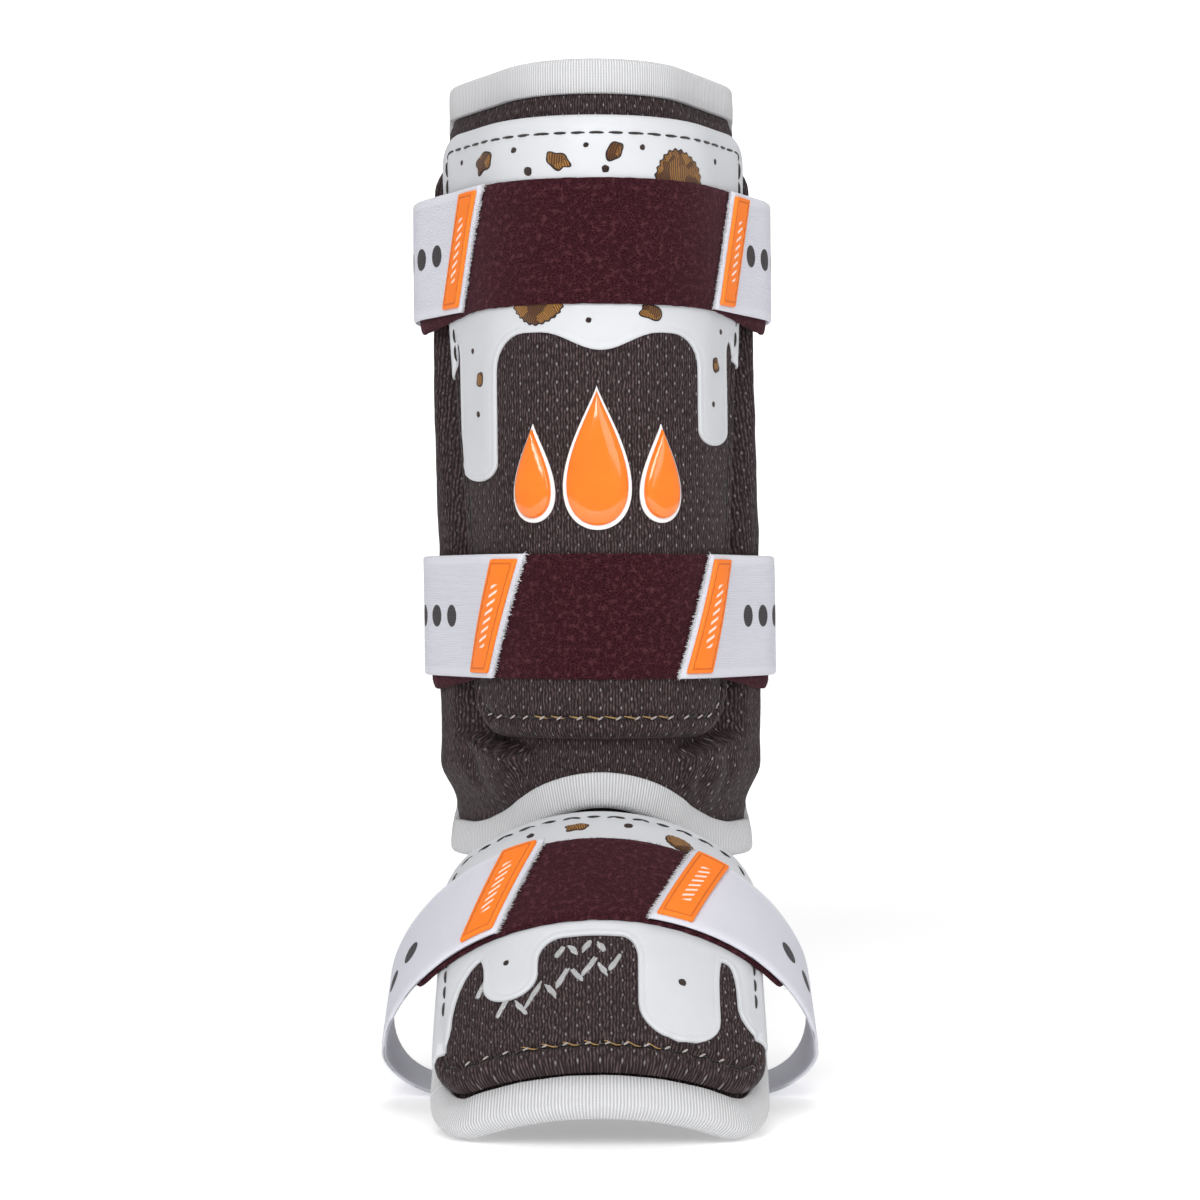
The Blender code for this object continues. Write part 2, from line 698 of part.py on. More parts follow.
def drip_edge(drips, fillet):
    """Points from left to right along an edge with drips, measured down from its level."""
    points = []
    for k, drip in enumerate(drips):
        place, half, reach = drip["place"], drip["half"], drip["reach"]
        if reach < half + fillet:
            for n in range(9):
                share = n / 8
                points.append((place + half * (2 * share - 1), reach * (1 - cos(2 * pi * share)) / 2))
            continue
        before = drips[k - 1] if k else None
        after = drips[k + 1] if k + 1 < len(drips) else None
        left = min(fillet, (place - half - before["place"] - before["half"]) / 2) if before else fillet
        right = min(fillet, (after["place"] - after["half"] - place - half) / 2) if after else fillet
        points += [quarter(place - half, -left, turn) for turn in (0, pi / 6, pi / 3, pi / 2)]
        for n in range(9):
            turn = pi * n / 8
            points.append((place - half * cos(turn), reach - half + half * sin(turn)))
        points += [quarter(place + half, right, turn) for turn in (pi / 2, pi / 3, pi / 6, 0)]
    return points


def quarter(side, fillet, turn):
    """A point of the fillet between the level and a drip's upright side."""
    return side + fillet * (1 - sin(turn)), abs(fillet) * (1 - cos(turn))


def prism(name, outline, depth, matrix, cutters):
    """A closed prism over a flat outline, made from a filled curve and kept as a cutter."""
    curve = bpy.data.curves.new(name, "CURVE")
    curve.dimensions = "2D"
    curve.fill_mode = "BOTH"
    curve.extrude = depth
    line = curve.splines.new("POLY")
    line.points.add(len(outline) - 1)
    for point, (x, y) in zip(line.points, outline):
        point.co = (x, y, 0, 1)
    line.use_cyclic_u = True
    drawn = bpy.data.objects.new(name, curve)
    drawn.matrix_world = matrix
    bpy.context.scene.collection.objects.link(drawn)
    bpy.context.view_layer.update()
    mesh = bpy.data.meshes.new_from_object(drawn.evaluated_get(bpy.context.evaluated_depsgraph_get()))
    form = bmesh.new()
    form.from_mesh(mesh)
    bmesh.ops.remove_doubles(form, verts=form.verts, dist=0.00001)
    form.to_mesh(mesh)
    form.free()
    cutter = bpy.data.objects.new(name, mesh)
    cutter.matrix_world = drawn.matrix_world
    cutter.hide_render = True
    cutter.display_type = "WIRE"
    cutters.objects.link(cutter)
    bpy.data.objects.remove(drawn)
    bpy.data.curves.remove(curve)
    return cutter


def keep_inside(piece, cutter):
    cut = piece.modifiers.new("drips", "BOOLEAN")
    cut.operation = "INTERSECT"
    cut.solver = "EXACT"
    cut.object = cutter


# Instep guard

def instep_pad_columns():
    middle = split(-INSTEP_PAD_HALF, INSTEP_PAD_HALF, 0.0115)
    return corner_spaced(INSTEP_PAD_HALF, INSTEP_PAD_CORNER, middle, 0.0115)


def make_instep_pad(home):
    base = INSTEP_INSIDE

    def place(across, share):
        front, back = instep_pad_end(across), instep_pad_start(across)
        return on_instep(front + (back - front) * share, across, base)

    rows = [k / INSTEP_ROWS for k in range(INSTEP_ROWS + 1)]
    return bent_sheet("instep_pad", instep_pad_columns(), rows, place, FLANGE_WALL, MESH_BROWN, home)


def make_instep_binding(home):
    rows = [k / INSTEP_ROWS for k in range(INSTEP_ROWS + 1)]
    rim = rim_of(instep_pad_columns(), rows, lambda c: -instep_pad_end(c), lambda c: -instep_pad_start(c))
    base = INSTEP_INSIDE

    def place(across, back, out):
        return on_instep(-back, across, out)

    return tape("instep_binding", rim, place, base, FLANGE_WALL, home)


def instep_plate_shares():
    columns = edge_spaced(14, PLATE_ROUND, INSTEP_PLATE_HALF * 2)
    length = INSTEP_PLATE_END - INSTEP_PLATE_START
    return [2 * c - 1 for c in columns], edge_spaced(8, PLATE_ROUND, length)


def make_instep_plate(home):
    def place(across_share, back_share):
        along, across, inset = instep_plate_point(across_share, back_share)
        return on_instep(along, across, -INSTEP_PLATE_WALL)

    def share_of_wall(across_share, back_share):
        along, across, inset = instep_plate_point(across_share, back_share)
        return 1 - round_over(inset) / INSTEP_PLATE_WALL

    shares = instep_plate_shares()
    return bent_sheet("instep_plate", *shares, place, INSTEP_PLATE_WALL, MESH_BROWN, home, share_of_wall)


def make_instep_overlay(home, cutters):
    def place(across_share, back_share):
        along, across, inset = instep_plate_point(across_share, back_share)
        return on_instep(along, across, SEAM_GAP - round_over(inset))

    overlay = bent_sheet("instep_overlay", *instep_plate_shares(), place, VINYL_WALL, VINYL_WHITE, home)
    edge = drip_edge(INSTEP_DRIPS, INSTEP_DRIP_FILLET)
    outline = [(x, -y) for x, y in edge]
    outline += [(edge[-1][0], INSTEP_DRIP_LEVEL * 1.3), (edge[0][0], INSTEP_DRIP_LEVEL * 1.3)]
    top, forward, outward = instep_frame(INSTEP_DRIP_LEVEL)
    side = Vector((1, 0, 0))
    lying = Matrix.Translation(top) @ Matrix((side, -forward, outward)).transposed().to_4x4()
    keep_inside(overlay, prism("instep_drips", outline, INSTEP_RADIUS_TOP, lying, cutters))
    return overlay


def make_instep_panel(home):
    half = INSTEP_PANEL_HALF

    def place(across, share):
        rounding = corner_drop(across, half, LOOP_CORNER)
        reach = STRAP_WIDTH / 2 - rounding
        return on_instep(HOOP_PLACE + reach * (1 - 2 * share), across, SEAM_GAP + VINYL_WALL + GAP)

    columns = corner_spaced(half, LOOP_CORNER, split(-half, half, 0.009), 0.009, 2)
    return bent_sheet("loop_panel_instep", columns, [0, 0.35, 0.65, 1], place, LOOP_WALL, LOOP_BURGUNDY, home)


def toe_level():
    """Height of the instep binding's lowest point, where the guard's toe stands."""
    sleeve = tape_profile(INSTEP_INSIDE, FLANGE_WALL)
    places = [(instep_pad_end(across) + past, across, out) for across in instep_pad_columns() for past, out in sleeve]
    return min(on_instep(*place).z for place in places)


def hoop_track(depth):
    """The hoop's line across the foot: round over the instep, and flat on the floor."""
    radius = INSTEP_RADIUS_TOP
    fall = depth - radius * (1 - cos(HOOP_TURN)) - HOOP_CORNER * (1 + cos(HOOP_TURN))
    side = fall / sin(HOOP_TURN)
    half = radius * sin(HOOP_TURN) + side * cos(HOOP_TURN) - HOOP_CORNER * sin(HOOP_TURN)
    return Track([
        (radius * HOOP_TURN, radius),
        (side, None),
        (HOOP_CORNER * (pi - HOOP_TURN), HOOP_CORNER),
        (half, None),
    ])


def on_hoop(track, out):
    """A function for points of the instep strap: on the instep at its top, and flat at its foot."""
    top, forward, outward = instep_frame(HOOP_PLACE)
    depth = track.at(track.length(), 0)[1]

    def place(along, back):
        across, drop = track.at(along, out)
        share = ease(drop, INSTEP_RADIUS_TOP * 0.45, depth)
        slope = acos(-forward.y) * (1 - share)
        ahead = Vector((0, -cos(slope), -sin(slope)))
        free = top - outward * drop + Vector((across, HOOP_SET_BACK * share, 0)) - ahead * back
        held = on_instep_band(out, along, back)
        loose = ease(abs(along), INSTEP_PANEL_HALF * 1.12, INSTEP_PANEL_HALF * 1.5)
        return held.lerp(free, loose)

    return place


def make_instep_strap(home):
    out = SEAM_GAP + VINYL_WALL + GAP + LOOP_WALL + HOOK_GAP
    top, forward, outward = instep_frame(HOOP_PLACE)
    depth = (top.z - toe_level()) / outward.z - STRAP_WALL - out
    spot = on_hoop(hoop_track(depth), out)
    make_strap("strap_instep", hoop_track(depth), HOOP_ENDS, spot, INSTEP_STRAP_ROWS, home)
    tab_spot = partial(on_instep_band, out + STRAP_WALL + GAP)
    make_tab("tab_instep_left", HOOP_ENDS[0], -1, tab_spot, home)
    make_tab("tab_instep_right", HOOP_ENDS[1], 1, tab_spot, home)


def make_ankle_hinge(home):
    """Strip of elastic fabric sewn inside both pads, bent over the top edge of the instep pad."""
    shin_out = SHIN_INSIDE - SEAM_GAP - TAPE_WALL - GAP - HINGE_WALL
    instep_out = INSTEP_INSIDE - SEAM_GAP - TAPE_WALL - GAP - HINGE_WALL
    ankle = INSTEP_PAD_START - TAPE_WALL - 4 * HINGE_WALL
    narrowing = (FRONT_RADIUS + shin_out) / (INSTEP_RADIUS_TOP + instep_out)
    narrowing *= INSTEP_RADIUS_TOP / FRONT_RADIUS
    instep_rows = (HINGE_DEPTH, HINGE_DEPTH * 0.35, ankle)
    shin_rows = (-TAPE_WALL - 3 * HINGE_WALL, TAPE_WIDTH / 2, HINGE_DEPTH)

    def place(across, row):
        row = round(row)
        if row < len(instep_rows):
            return on_instep(instep_rows[row], across * narrowing, instep_out)
        return on_shin(across, shin_pad_low(across) + shin_rows[row - len(instep_rows)], shin_out)

    columns = split(-HINGE_HALF, HINGE_HALF, 0.009) + [HINGE_HALF]
    rows = list(range(len(instep_rows) + len(shin_rows)))
    return bent_sheet("ankle_hinge", columns, rows, place, HINGE_WALL, MESH_BROWN, home)


def seat_on_floor(root, collection):
    """Move the whole guard so that the middle of its box's lower face is the origin."""
    bpy.context.view_layer.update()
    graph = bpy.context.evaluated_depsgraph_get()
    corners = []
    for piece in collection.objects:
        if piece.type == "MESH":
            done = piece.evaluated_get(graph)
            mesh = done.to_mesh()
            corners += [piece.matrix_world @ v.co for v in mesh.vertices]
            done.to_mesh_clear()
    low = [min(c[k] for c in corners) for k in range(3)]
    high = [max(c[k] for c in corners) for k in range(3)]
    root.location -= Vector(((low[0] + high[0]) / 2, (low[1] + high[1]) / 2, low[2]))
    bpy.context.view_layer.update()


def main():
    for thing in list(bpy.data.objects):
        bpy.data.objects.remove(thing)
    parts = make_collection("leg_guard")
    cutters = make_collection("cutters")
    root = bpy.data.objects.new("leg_guard_origin", None)
    parts.objects.link(root)
    homes = []
    for name in ("shin_guard_frame", "instep_guard_frame"):
        frame = bpy.data.objects.new(name, None)
        frame.parent = root
        parts.objects.link(frame)
        homes.append((parts, frame))
    shin, instep = homes
    make_shin_pad(shin)
    make_shin_binding(shin)
    make_shin_plate(shin)
    make_shin_overlay(shin, cutters)
    make_shin_straps(shin)
    make_motif(shin)
    make_ankle_hinge(shin)
    make_instep_pad(instep)
    make_instep_binding(instep)
    make_instep_plate(instep)
    make_instep_overlay(instep, cutters)
    make_instep_panel(instep)
    make_instep_strap(instep)
    for cutter in cutters.objects:
        cutter.parent = root
    seat_on_floor(root, parts)


main()
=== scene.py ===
"""Looks of a batter's leg guard: mesh padding, ribbed tape, vinyl drips, fuzzy panels, elastic straps.

Metres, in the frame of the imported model. Two surfaces carry everything: the outer faces of the
plates on the shin and on the instep. A layer is drawn on a flat layout, as places along and across
one of them, and bent onto it at a stated height out.
"""

from math import asin, cos, hypot, pi, radians, sin

import bmesh
import bpy
import numpy as np
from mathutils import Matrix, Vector
from mathutils.geometry import delaunay_2d_cdt


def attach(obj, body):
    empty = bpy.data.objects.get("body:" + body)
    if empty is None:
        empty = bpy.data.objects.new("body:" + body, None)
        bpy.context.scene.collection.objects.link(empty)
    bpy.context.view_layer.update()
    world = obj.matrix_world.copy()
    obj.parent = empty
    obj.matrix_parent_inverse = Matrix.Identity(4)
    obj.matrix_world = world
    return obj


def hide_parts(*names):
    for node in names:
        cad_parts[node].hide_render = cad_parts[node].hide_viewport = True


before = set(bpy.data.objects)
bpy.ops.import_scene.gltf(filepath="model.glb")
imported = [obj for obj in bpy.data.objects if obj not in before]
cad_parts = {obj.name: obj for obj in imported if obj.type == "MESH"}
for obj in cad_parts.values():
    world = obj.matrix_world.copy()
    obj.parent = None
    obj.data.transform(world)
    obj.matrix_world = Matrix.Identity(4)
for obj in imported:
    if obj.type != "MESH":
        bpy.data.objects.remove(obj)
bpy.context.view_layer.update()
ROOT = "root"

# Where the guard stands once it is lowered onto the floor
SEAT = np.array([0.0, -0.01254, -0.00153])

# Clearances and walls of the layers
GAP = 0.0003
HOOK_GAP = 0.0005
SEAM_GAP = 0.0006
VINYL_WALL = 0.0007
VINYL_INSET = 0.0006
VINYL_ROUND = 0.0009
PRICK_INSET = 0.0026
PRICK_PITCH = 0.0021
PRICK_WIDTH = 0.0006
PRICK_DEPTH = 0.00028
LOOP_WALL = 0.0016
STRAP_WALL = 0.0018
TAB_WALL = 0.0014
TAPE_WALL = 0.0014
TAPE_WIDTH = 0.0125
FLANGE_WALL = 0.006

# Shin surface
FRONT_RADIUS = 0.0515
FRONT_TURN = radians(63)
SIDE_RUN = 0.0438
CORNER_RADIUS = 0.043
CORNER_TURN = radians(87)
SHIN_LEAN = -0.008
SHIN_TWIST = -0.025
TWIST_START = 0.190
TWIST_END = 0.310

# Shin pad
PAD_HALF = 0.136
PAD_TOP = 0.4150
ARCH_TOP = 0.1180
LOBE_BOTTOM = 0.0945
LOBE_PLACE = 0.094
PAD_CORNER = 0.024
PAD_WALL = 0.008
PILLOW_WALL = 0.0182
PILLOW_TOP = 0.388
PILLOW_BOTTOM = 0.112
PILLOW_EDGE = 0.013
PILLOW_TOE = 0.040
PILLOW_TOE_TOP = 0.142
PILLOW_FOOT = 0.020
PILLOW_HEAD = 0.016
PILLOW_FULLNESS = 0.8
PILLOW_RIPPLE = 0.0006
COVER_RIPPLE = 0.0002
FLANGE_SLOPE = 0.006
GROOVE = 0.003

# Shin plate
PLATE_WALL = 0.0097
PLATE_TOP = 0.3935
PLATE_BOTTOM = 0.1440
PLATE_HALF_TOP = 0.0965
PLATE_HALF_BOTTOM = 0.0745
PLATE_CORNER = 0.022
PLATE_TOP_CORNER = 0.014
PLATE_ROUND = 0.0075
PLATE_ROUNDNESS = 2.4
STITCH_INSET = 0.0085
STITCH_GROOVE = 0.0009
STITCH_GROOVE_WIDTH = 0.0011
SEAM_SPREAD = 0.0026
# Deeper pull of the seam along the lower edges, and the puckers across it
LOW_GROOVE = 0.0011
LOW_PUCKER = 0.0006
LOW_GROOVE_WIDTH = 0.0018
LOW_PUCKER_WIDTH = 0.0045
SHIN_PUCKERS = 0.0083
INSTEP_PUCKERS = 0.0077
# Heights on the shin and distances on the instep between which the pull sets in
SHIN_LOW_SEAM = (0.165, 0.185)
INSTEP_LOW_SEAM = (0.105, 0.125)
FACE_GRAIN = 0.0001
# How far the lobes at the ankles spread outwards
LOBE_FLARE = 0.004

# Straps, tabs and panels
STRAP_WIDTH = 0.050
TAB_WIDTH = 0.0135
TAB_HEIGHT = 0.046
TAB_INSET = 0.0018
TAB_OUTSET = GAP / 2
END_SLANT = 0.018
LOOP_CORNER = 0.008
PANEL_END_DROP = 0.006
UPPER_PANEL_HEIGHT = 0.3420
LOWER_PANEL_HEIGHT = 0.1930
UPPER_PANEL_HALF = 0.116
LOWER_PANEL_HALF = 0.112
UPPER_STRAP_ENDS = (-0.0575, 0.0615)
LOWER_STRAP_ENDS = (-0.0385, 0.0405)

# Instep surface, pad, plate and strap
HINGE_HEIGHT = 0.1150
HINGE_SLOPE = radians(25)
INSTEP_BEND = 0.383
INSTEP_RADIUS_TOP = 0.080
INSTEP_RADIUS_TOE = 0.085
INSTEP_PAD_START = -0.012
INSTEP_PAD_END = 0.1535
INSTEP_PAD_HALF = 0.0815
INSTEP_PAD_CORNER = 0.024
INSTEP_TONGUE = 0.004
INSTEP_PLATE_START = -0.004
INSTEP_PLATE_END = 0.1405
INSTEP_PLATE_HALF = 0.073
INSTEP_PLATE_CORNER = 0.020
INSTEP_PLATE_WALL = 0.0070
INSTEP_PANEL_HALF = 0.082
HOOP_PLACE = 0.048
HOOP_TURN = radians(84)
HOOP_CORNER = 0.022
HOOP_SET_BACK = 0.014
HOOP_ENDS = (-0.0295, 0.0265)
HINGE_WALL = 0.0012
HINGE_HALF = 0.036
HINGE_DEPTH = 0.020
# The vinyl on the instep lies this much further out than its surface, and stops short of the sides
VINYL_SPREAD = 1.025
NEARLY_ONE = 0.999

SHIN_INSIDE = -PLATE_WALL - SEAM_GAP - PAD_WALL
VINYL_OUT = SEAM_GAP + VINYL_WALL
INSTEP_INSIDE = -INSTEP_PLATE_WALL - GAP - TAPE_WALL - SEAM_GAP - FLANGE_WALL

# Drips, as seen from the front: place, half width, reach below the level, and the width and height
# of the curve that joins each side to the level
DRIP_LEVEL = 0.3062
SHIN_DRIPS = (
    (-0.0665, 0.0095, 0.0190, (0.002, 0.002), (0.0020, 0.0060)),
    (-0.0475, 0.0072, 0.0585, (0.0015, 0.009), (0.0110, 0.0150)),
    (0.0010, 0.0240, 0.0075, None, None),
    (0.0467, 0.0062, 0.0440, (0.0110, 0.0130), (0.0020, 0.0060)),
    (0.0650, 0.0090, 0.0130, (0.0020, 0.0060), (0.002, 0.002)),
)
INSTEP_DRIP_LEVEL = 0.0800
INSTEP_DRIPS = (
    (-0.0700, 0.0150, 0.0440, (0.001, 0.002), (0.0120, 0.0300)),
    (-0.0330, 0.0100, 0.0270, (0.0025, 0.0120), (0.0090, 0.0110)),
    (0.0290, 0.0150, 0.0480, (0.0060, 0.0110), (0.0020, 0.0200)),
    (0.0640, 0.0130, 0.0330, (0.0030, 0.0160), (0.001, 0.002)),
)

# Raised drops on the shin, between the lower panel and the vinyl's wave
MOTIF_MIDDLE = -0.0006
MOTIF_HEIGHT = 0.2560
MOTIF_BASE_WALL = 0.0007
MOTIF_GEL_WALL = 0.0030
MOTIF_OUTLINE = 0.0017
MOTIF_DROPS = (
    ("left", -0.0265, 0.0088, 0.0180, -0.006),
    ("middle", 0.0, 0.0135, 0.0270, 0.0),
    ("right", 0.0265, 0.0088, 0.0180, -0.006),
)


# Surfaces

def bend(pieces, distance, out):
    """Across and depth of places along a line of arcs and straights, at heights out from it."""
    distance, out = np.broadcast_arrays(np.asarray(distance, float), np.asarray(out, float))
    side = np.where(distance < 0, -1.0, 1.0)
    rest = np.abs(distance)
    across, depth, turn = np.zeros_like(rest), np.zeros_like(rest), np.zeros_like(rest)
    for run, radius in pieces:
        step = np.clip(rest, 0, run)
        if radius:
            swing = turn + step / radius
            across = across + radius * (np.sin(swing) - np.sin(turn))
            depth = depth + radius * (np.cos(turn) - np.cos(swing))
            turn = swing
        else:
            across = across + step * np.cos(turn)
            depth = depth + step * np.sin(turn)
        rest = rest - step
    return side * (across + out * np.sin(turn)), depth - out * np.cos(turn)


def closed_round(front_radius, front_turn, run, corner_radius, corner_turn):
    """Pieces of a whole loop: round front, straight side, round corner and a flat round back."""
    reach = front_radius * sin(front_turn) + run * cos(front_turn)
    reach += corner_radius * (sin(front_turn + corner_turn) - sin(front_turn))
    left = pi - front_turn - corner_turn
    back_radius = reach / sin(left)
    return (
        (front_radius * front_turn, front_radius),
        (run, None),
        (corner_radius * corner_turn, corner_radius),
        (back_radius * left, back_radius),
    )


SHIN_LINE = closed_round(FRONT_RADIUS, FRONT_TURN, SIDE_RUN, CORNER_RADIUS, CORNER_TURN)


def ease(value, start, end):
    """0 before start, 1 after end and smooth between."""
    share = np.clip((np.asarray(value, float) - start) / (end - start), 0, 1)
    return share * share * (3 - 2 * share)


def swell(inset, reach, roundness=2):
    """0 at an edge and 1 from reach inwards, along a rounded rise."""
    return (1 - (1 - np.clip(inset / reach, 0, 1)) ** roundness) ** (1 / roundness)


def ridge(value, middle, width):
    """1 at the middle, falling softly on both sides."""
    return np.exp(-((value - middle) / width) ** 2)


def on_shin(along, height, out):
    along, height, out = np.broadcast_arrays(*(np.asarray(x, float) for x in (along, height, out)))
    across, depth = bend(SHIN_LINE, along, out)
    twist = SHIN_TWIST * ease(height, TWIST_START, TWIST_END)
    across = across + SHIN_LEAN * (height - TWIST_START) + twist * depth
    return np.stack([across, depth, height], -1) + SEAT


def on_flared_shin(along, height, out):
    """The shin surface as the pad and its tape follow it, spread outwards at the lobes."""
    low = 1 - ease(height, LOBE_BOTTOM, ARCH_TOP + TAPE_WIDTH / 2)
    flare = LOBE_FLARE * low * ease(np.abs(along), LOBE_PLACE / 2, LOBE_PLACE)
    return on_shin(along, height, out + flare)


def instep_frame(along):
    """Top point and the forward and outward directions of the instep surface."""
    along = np.asarray(along, float)
    slope = HINGE_SLOPE + along / INSTEP_BEND
    nil = np.zeros_like(slope)
    top = np.stack([
        nil,
        INSTEP_BEND * (sin(HINGE_SLOPE) - np.sin(slope)),
        HINGE_HEIGHT - INSTEP_BEND * (cos(HINGE_SLOPE) - np.cos(slope)),
    ], -1)
    forward = np.stack([nil, -np.cos(slope), -np.sin(slope)], -1)
    outward = np.stack([nil, -np.sin(slope), np.cos(slope)], -1)
    return top, forward, outward


def instep_point(along, across, out):
    along, across, out = np.broadcast_arrays(*(np.asarray(x, float) for x in (along, across, out)))
    top, forward, outward = instep_frame(along)
    radius = INSTEP_RADIUS_TOP + (INSTEP_RADIUS_TOE - INSTEP_RADIUS_TOP) * along / INSTEP_PAD_END
    turn = across / radius
    drop = radius - (radius + out) * np.cos(turn)
    side = np.zeros_like(top)
    side[..., 0] = (radius + out) * np.sin(turn)
    return top + side - outward * drop[..., None]


def on_instep(across, back, out):
    """A point out from the instep surface, from places across it and back from its top line's start."""
    return instep_point(-np.asarray(back, float), across, out) + SEAT


def along_at(across):
    """Place along the shin surface that shows at a place across it from the front."""
    reach = FRONT_RADIUS * sin(FRONT_TURN)
    if abs(across) <= reach:
        return FRONT_RADIUS * asin(across / FRONT_RADIUS)
    rest = FRONT_RADIUS * FRONT_TURN + (abs(across) - reach) / cos(FRONT_TURN)
    return rest if across > 0 else -rest


def instep_across(across):
    """Place across the instep surface that shows at a place across it from the front."""
    seen = INSTEP_RADIUS_TOP * VINYL_SPREAD
    return seen * asin(max(-NEARLY_ONE, min(NEARLY_ONE, across / seen)))


# Shapes of the padded parts, on their flat layouts

def corner_drop(place, half, corner):
    past = np.clip(np.abs(place) - (half - corner), 0, corner)
    return corner - np.sqrt(corner * corner - past * past)


def rounded_inset(beside, beyond, corner):
    """Inset from a round-cornered edge, from the insets from its two nearest sides."""
    round_one = corner - np.hypot(corner - beside, corner - beyond)
    return np.where((beside < corner) & (beyond < corner), round_one, np.minimum(beside, beyond))


def pad_low(along):
    share = np.minimum(1.0, np.abs(along) / LOBE_PLACE)
    arch = ARCH_TOP - (ARCH_TOP - LOBE_BOTTOM) * (1 - np.cos(pi * share)) / 2
    return arch + corner_drop(along, PAD_HALF, PAD_CORNER)


def pad_high(along):
    return PAD_TOP - corner_drop(along, PAD_HALF, PAD_CORNER)


def plate_half(height):
    share = (np.clip(height, PLATE_BOTTOM, PLATE_TOP) - PLATE_BOTTOM) / (PLATE_TOP - PLATE_BOTTOM)
    return PLATE_HALF_BOTTOM + (PLATE_HALF_TOP - PLATE_HALF_BOTTOM) * ease(share, 0, 1)


def plate_inset(along, height):
    beyond = np.minimum(height - PLATE_BOTTOM, PLATE_TOP - height)
    corner = np.where(height > DRIP_LEVEL, PLATE_TOP_CORNER, PLATE_CORNER)
    return rounded_inset(plate_half(height) - np.abs(along), beyond, corner)


def instep_plate_front(across):
    return INSTEP_PLATE_END - INSTEP_TONGUE * (across / INSTEP_PLATE_HALF) ** 2


def instep_plate_inset(across, back):
    beyond = np.minimum(instep_plate_front(across) + back, -back - INSTEP_PLATE_START)
    return rounded_inset(INSTEP_PLATE_HALF - np.abs(across), beyond, INSTEP_PLATE_CORNER)


def rolled(inset, wall):
    """How far a padded plate's face falls towards its edge, with the pull of the stitch line."""
    fall = wall * (1 - swell(inset, PLATE_ROUND, PLATE_ROUNDNESS))
    return fall + STITCH_GROOVE * ridge(inset, STITCH_INSET, STITCH_GROOVE_WIDTH)


RIPPLE_WAVES = 7


def ripples(a, b, size, seed):
    """Soft uneven waves between -1 and 1, about size long."""
    random = np.random.default_rng(seed)
    total = np.zeros_like(np.asarray(a, float))
    for _ in range(RIPPLE_WAVES):
        turn, phase = random.uniform(0, pi), random.uniform(0, 2 * pi)
        pace = 2 * pi / (size * random.uniform(0.7, 1.5))
        total = total + np.sin(pace * (a * cos(turn) + b * sin(turn)) + phase)
    return total / RIPPLE_WAVES


def crease(a, b, start, end, width, depth):
    """A soft fold between two places, deepest at its middle."""
    run = np.array(end) - np.array(start)
    share = np.clip(((a - start[0]) * run[0] + (b - start[1]) * run[1]) / hypot(*run) ** 2, 0, 1)
    far = np.hypot(a - start[0] - share * run[0], b - start[1] - share * run[1])
    return depth * np.sin(pi * (0.08 + 0.84 * share)) * ridge(far, 0, width)


PAD_CREASES = (
    ((-0.064, 0.1430), (-0.034, 0.1370), 0.0022, 0.0030),
    ((-0.036, 0.1370), (-0.058, 0.1180), 0.0030, 0.0022),
    ((-0.082, 0.1420), (-0.066, 0.1200), 0.0050, 0.0030),
    ((0.050, 0.1410), (0.062, 0.1180), 0.0042, 0.0040),
    ((0.072, 0.1400), (0.078, 0.1180), 0.0040, 0.0020),
)


def shin_pad_wall(along, height):
    """Thickness of the shin pad: a flange under the tape, then the base, with a pillow at each side."""
    side = np.abs(along)
    inset = np.minimum(np.minimum(height - pad_low(along), pad_high(along) - height), PAD_HALF - side)
    base = FLANGE_WALL + (PAD_WALL - FLANGE_WALL) * ease(inset, TAPE_WIDTH, TAPE_WIDTH + FLANGE_SLOPE)
    inner = plate_half(height) + GROOVE
    inner = inner - PILLOW_TOE * (1 - ease(height, PILLOW_TOE_TOP - 0.006, PILLOW_TOE_TOP + 0.004))
    outer = PAD_HALF - TAPE_WIDTH
    across = ease(side, inner, inner + PILLOW_EDGE) * (1 - ease(side, outer - PILLOW_EDGE * 1.6, outer))
    low = np.maximum(PILLOW_BOTTOM, pad_low(along) + TAPE_WIDTH)
    upright = ease(height, low, low + PILLOW_FOOT) * (1 - ease(height, PILLOW_TOP - PILLOW_HEAD, PILLOW_TOP))
    pillow = (across * upright) ** PILLOW_FULLNESS
    wall = base + (PILLOW_WALL - PAD_WALL) * pillow
    wall = wall + PILLOW_RIPPLE * pillow * ripples(along, height, 0.030, 3)
    under_plate = ease(plate_inset(along, height), -0.001, 0.003)
    for start, end, width, depth in PAD_CREASES:
        wall = wall - crease(along, height, start, end, width, depth) * (1 - under_plate)
    covered = ease(inset, TAPE_WIDTH - 0.002, TAPE_WIDTH + 0.004)
    wall = wall + COVER_RIPPLE * covered * ripples(along, height, 0.012, 5)
    return np.maximum(wall, FLANGE_WALL * 0.98)


def seam_pull(inset, waves):
    """Puckers and the deeper groove of a seam near a lower edge."""
    pucker = LOW_PUCKER * ridge(inset, STITCH_INSET, LOW_PUCKER_WIDTH) * waves
    return pucker - LOW_GROOVE * ridge(inset, STITCH_INSET, LOW_GROOVE_WIDTH)


def shin_plate_face(along, height):
    """Height of the shin plate's face out from the shin surface."""
    inset = plate_inset(along, height)
    low = 1 - ease(height, *SHIN_LOW_SEAM)
    waves = np.sin(2 * pi * (along + 0.4 * height) / SHIN_PUCKERS)
    grain = FACE_GRAIN * ripples(along, height, 0.014, 11)
    return low * seam_pull(inset, waves) - rolled(inset, PLATE_WALL) + grain


def instep_plate_face(across, back):
    inset = instep_plate_inset(across, back)
    low = ease(-back, *INSTEP_LOW_SEAM)
    waves = np.sin(2 * pi * across / INSTEP_PUCKERS)
    grain = FACE_GRAIN * ripples(across, back, 0.014, 13)
    return low * seam_pull(inset, waves) - rolled(inset, INSTEP_PLATE_WALL) + grain


# Heights of layers, as functions of places, and of their inset from an edge too

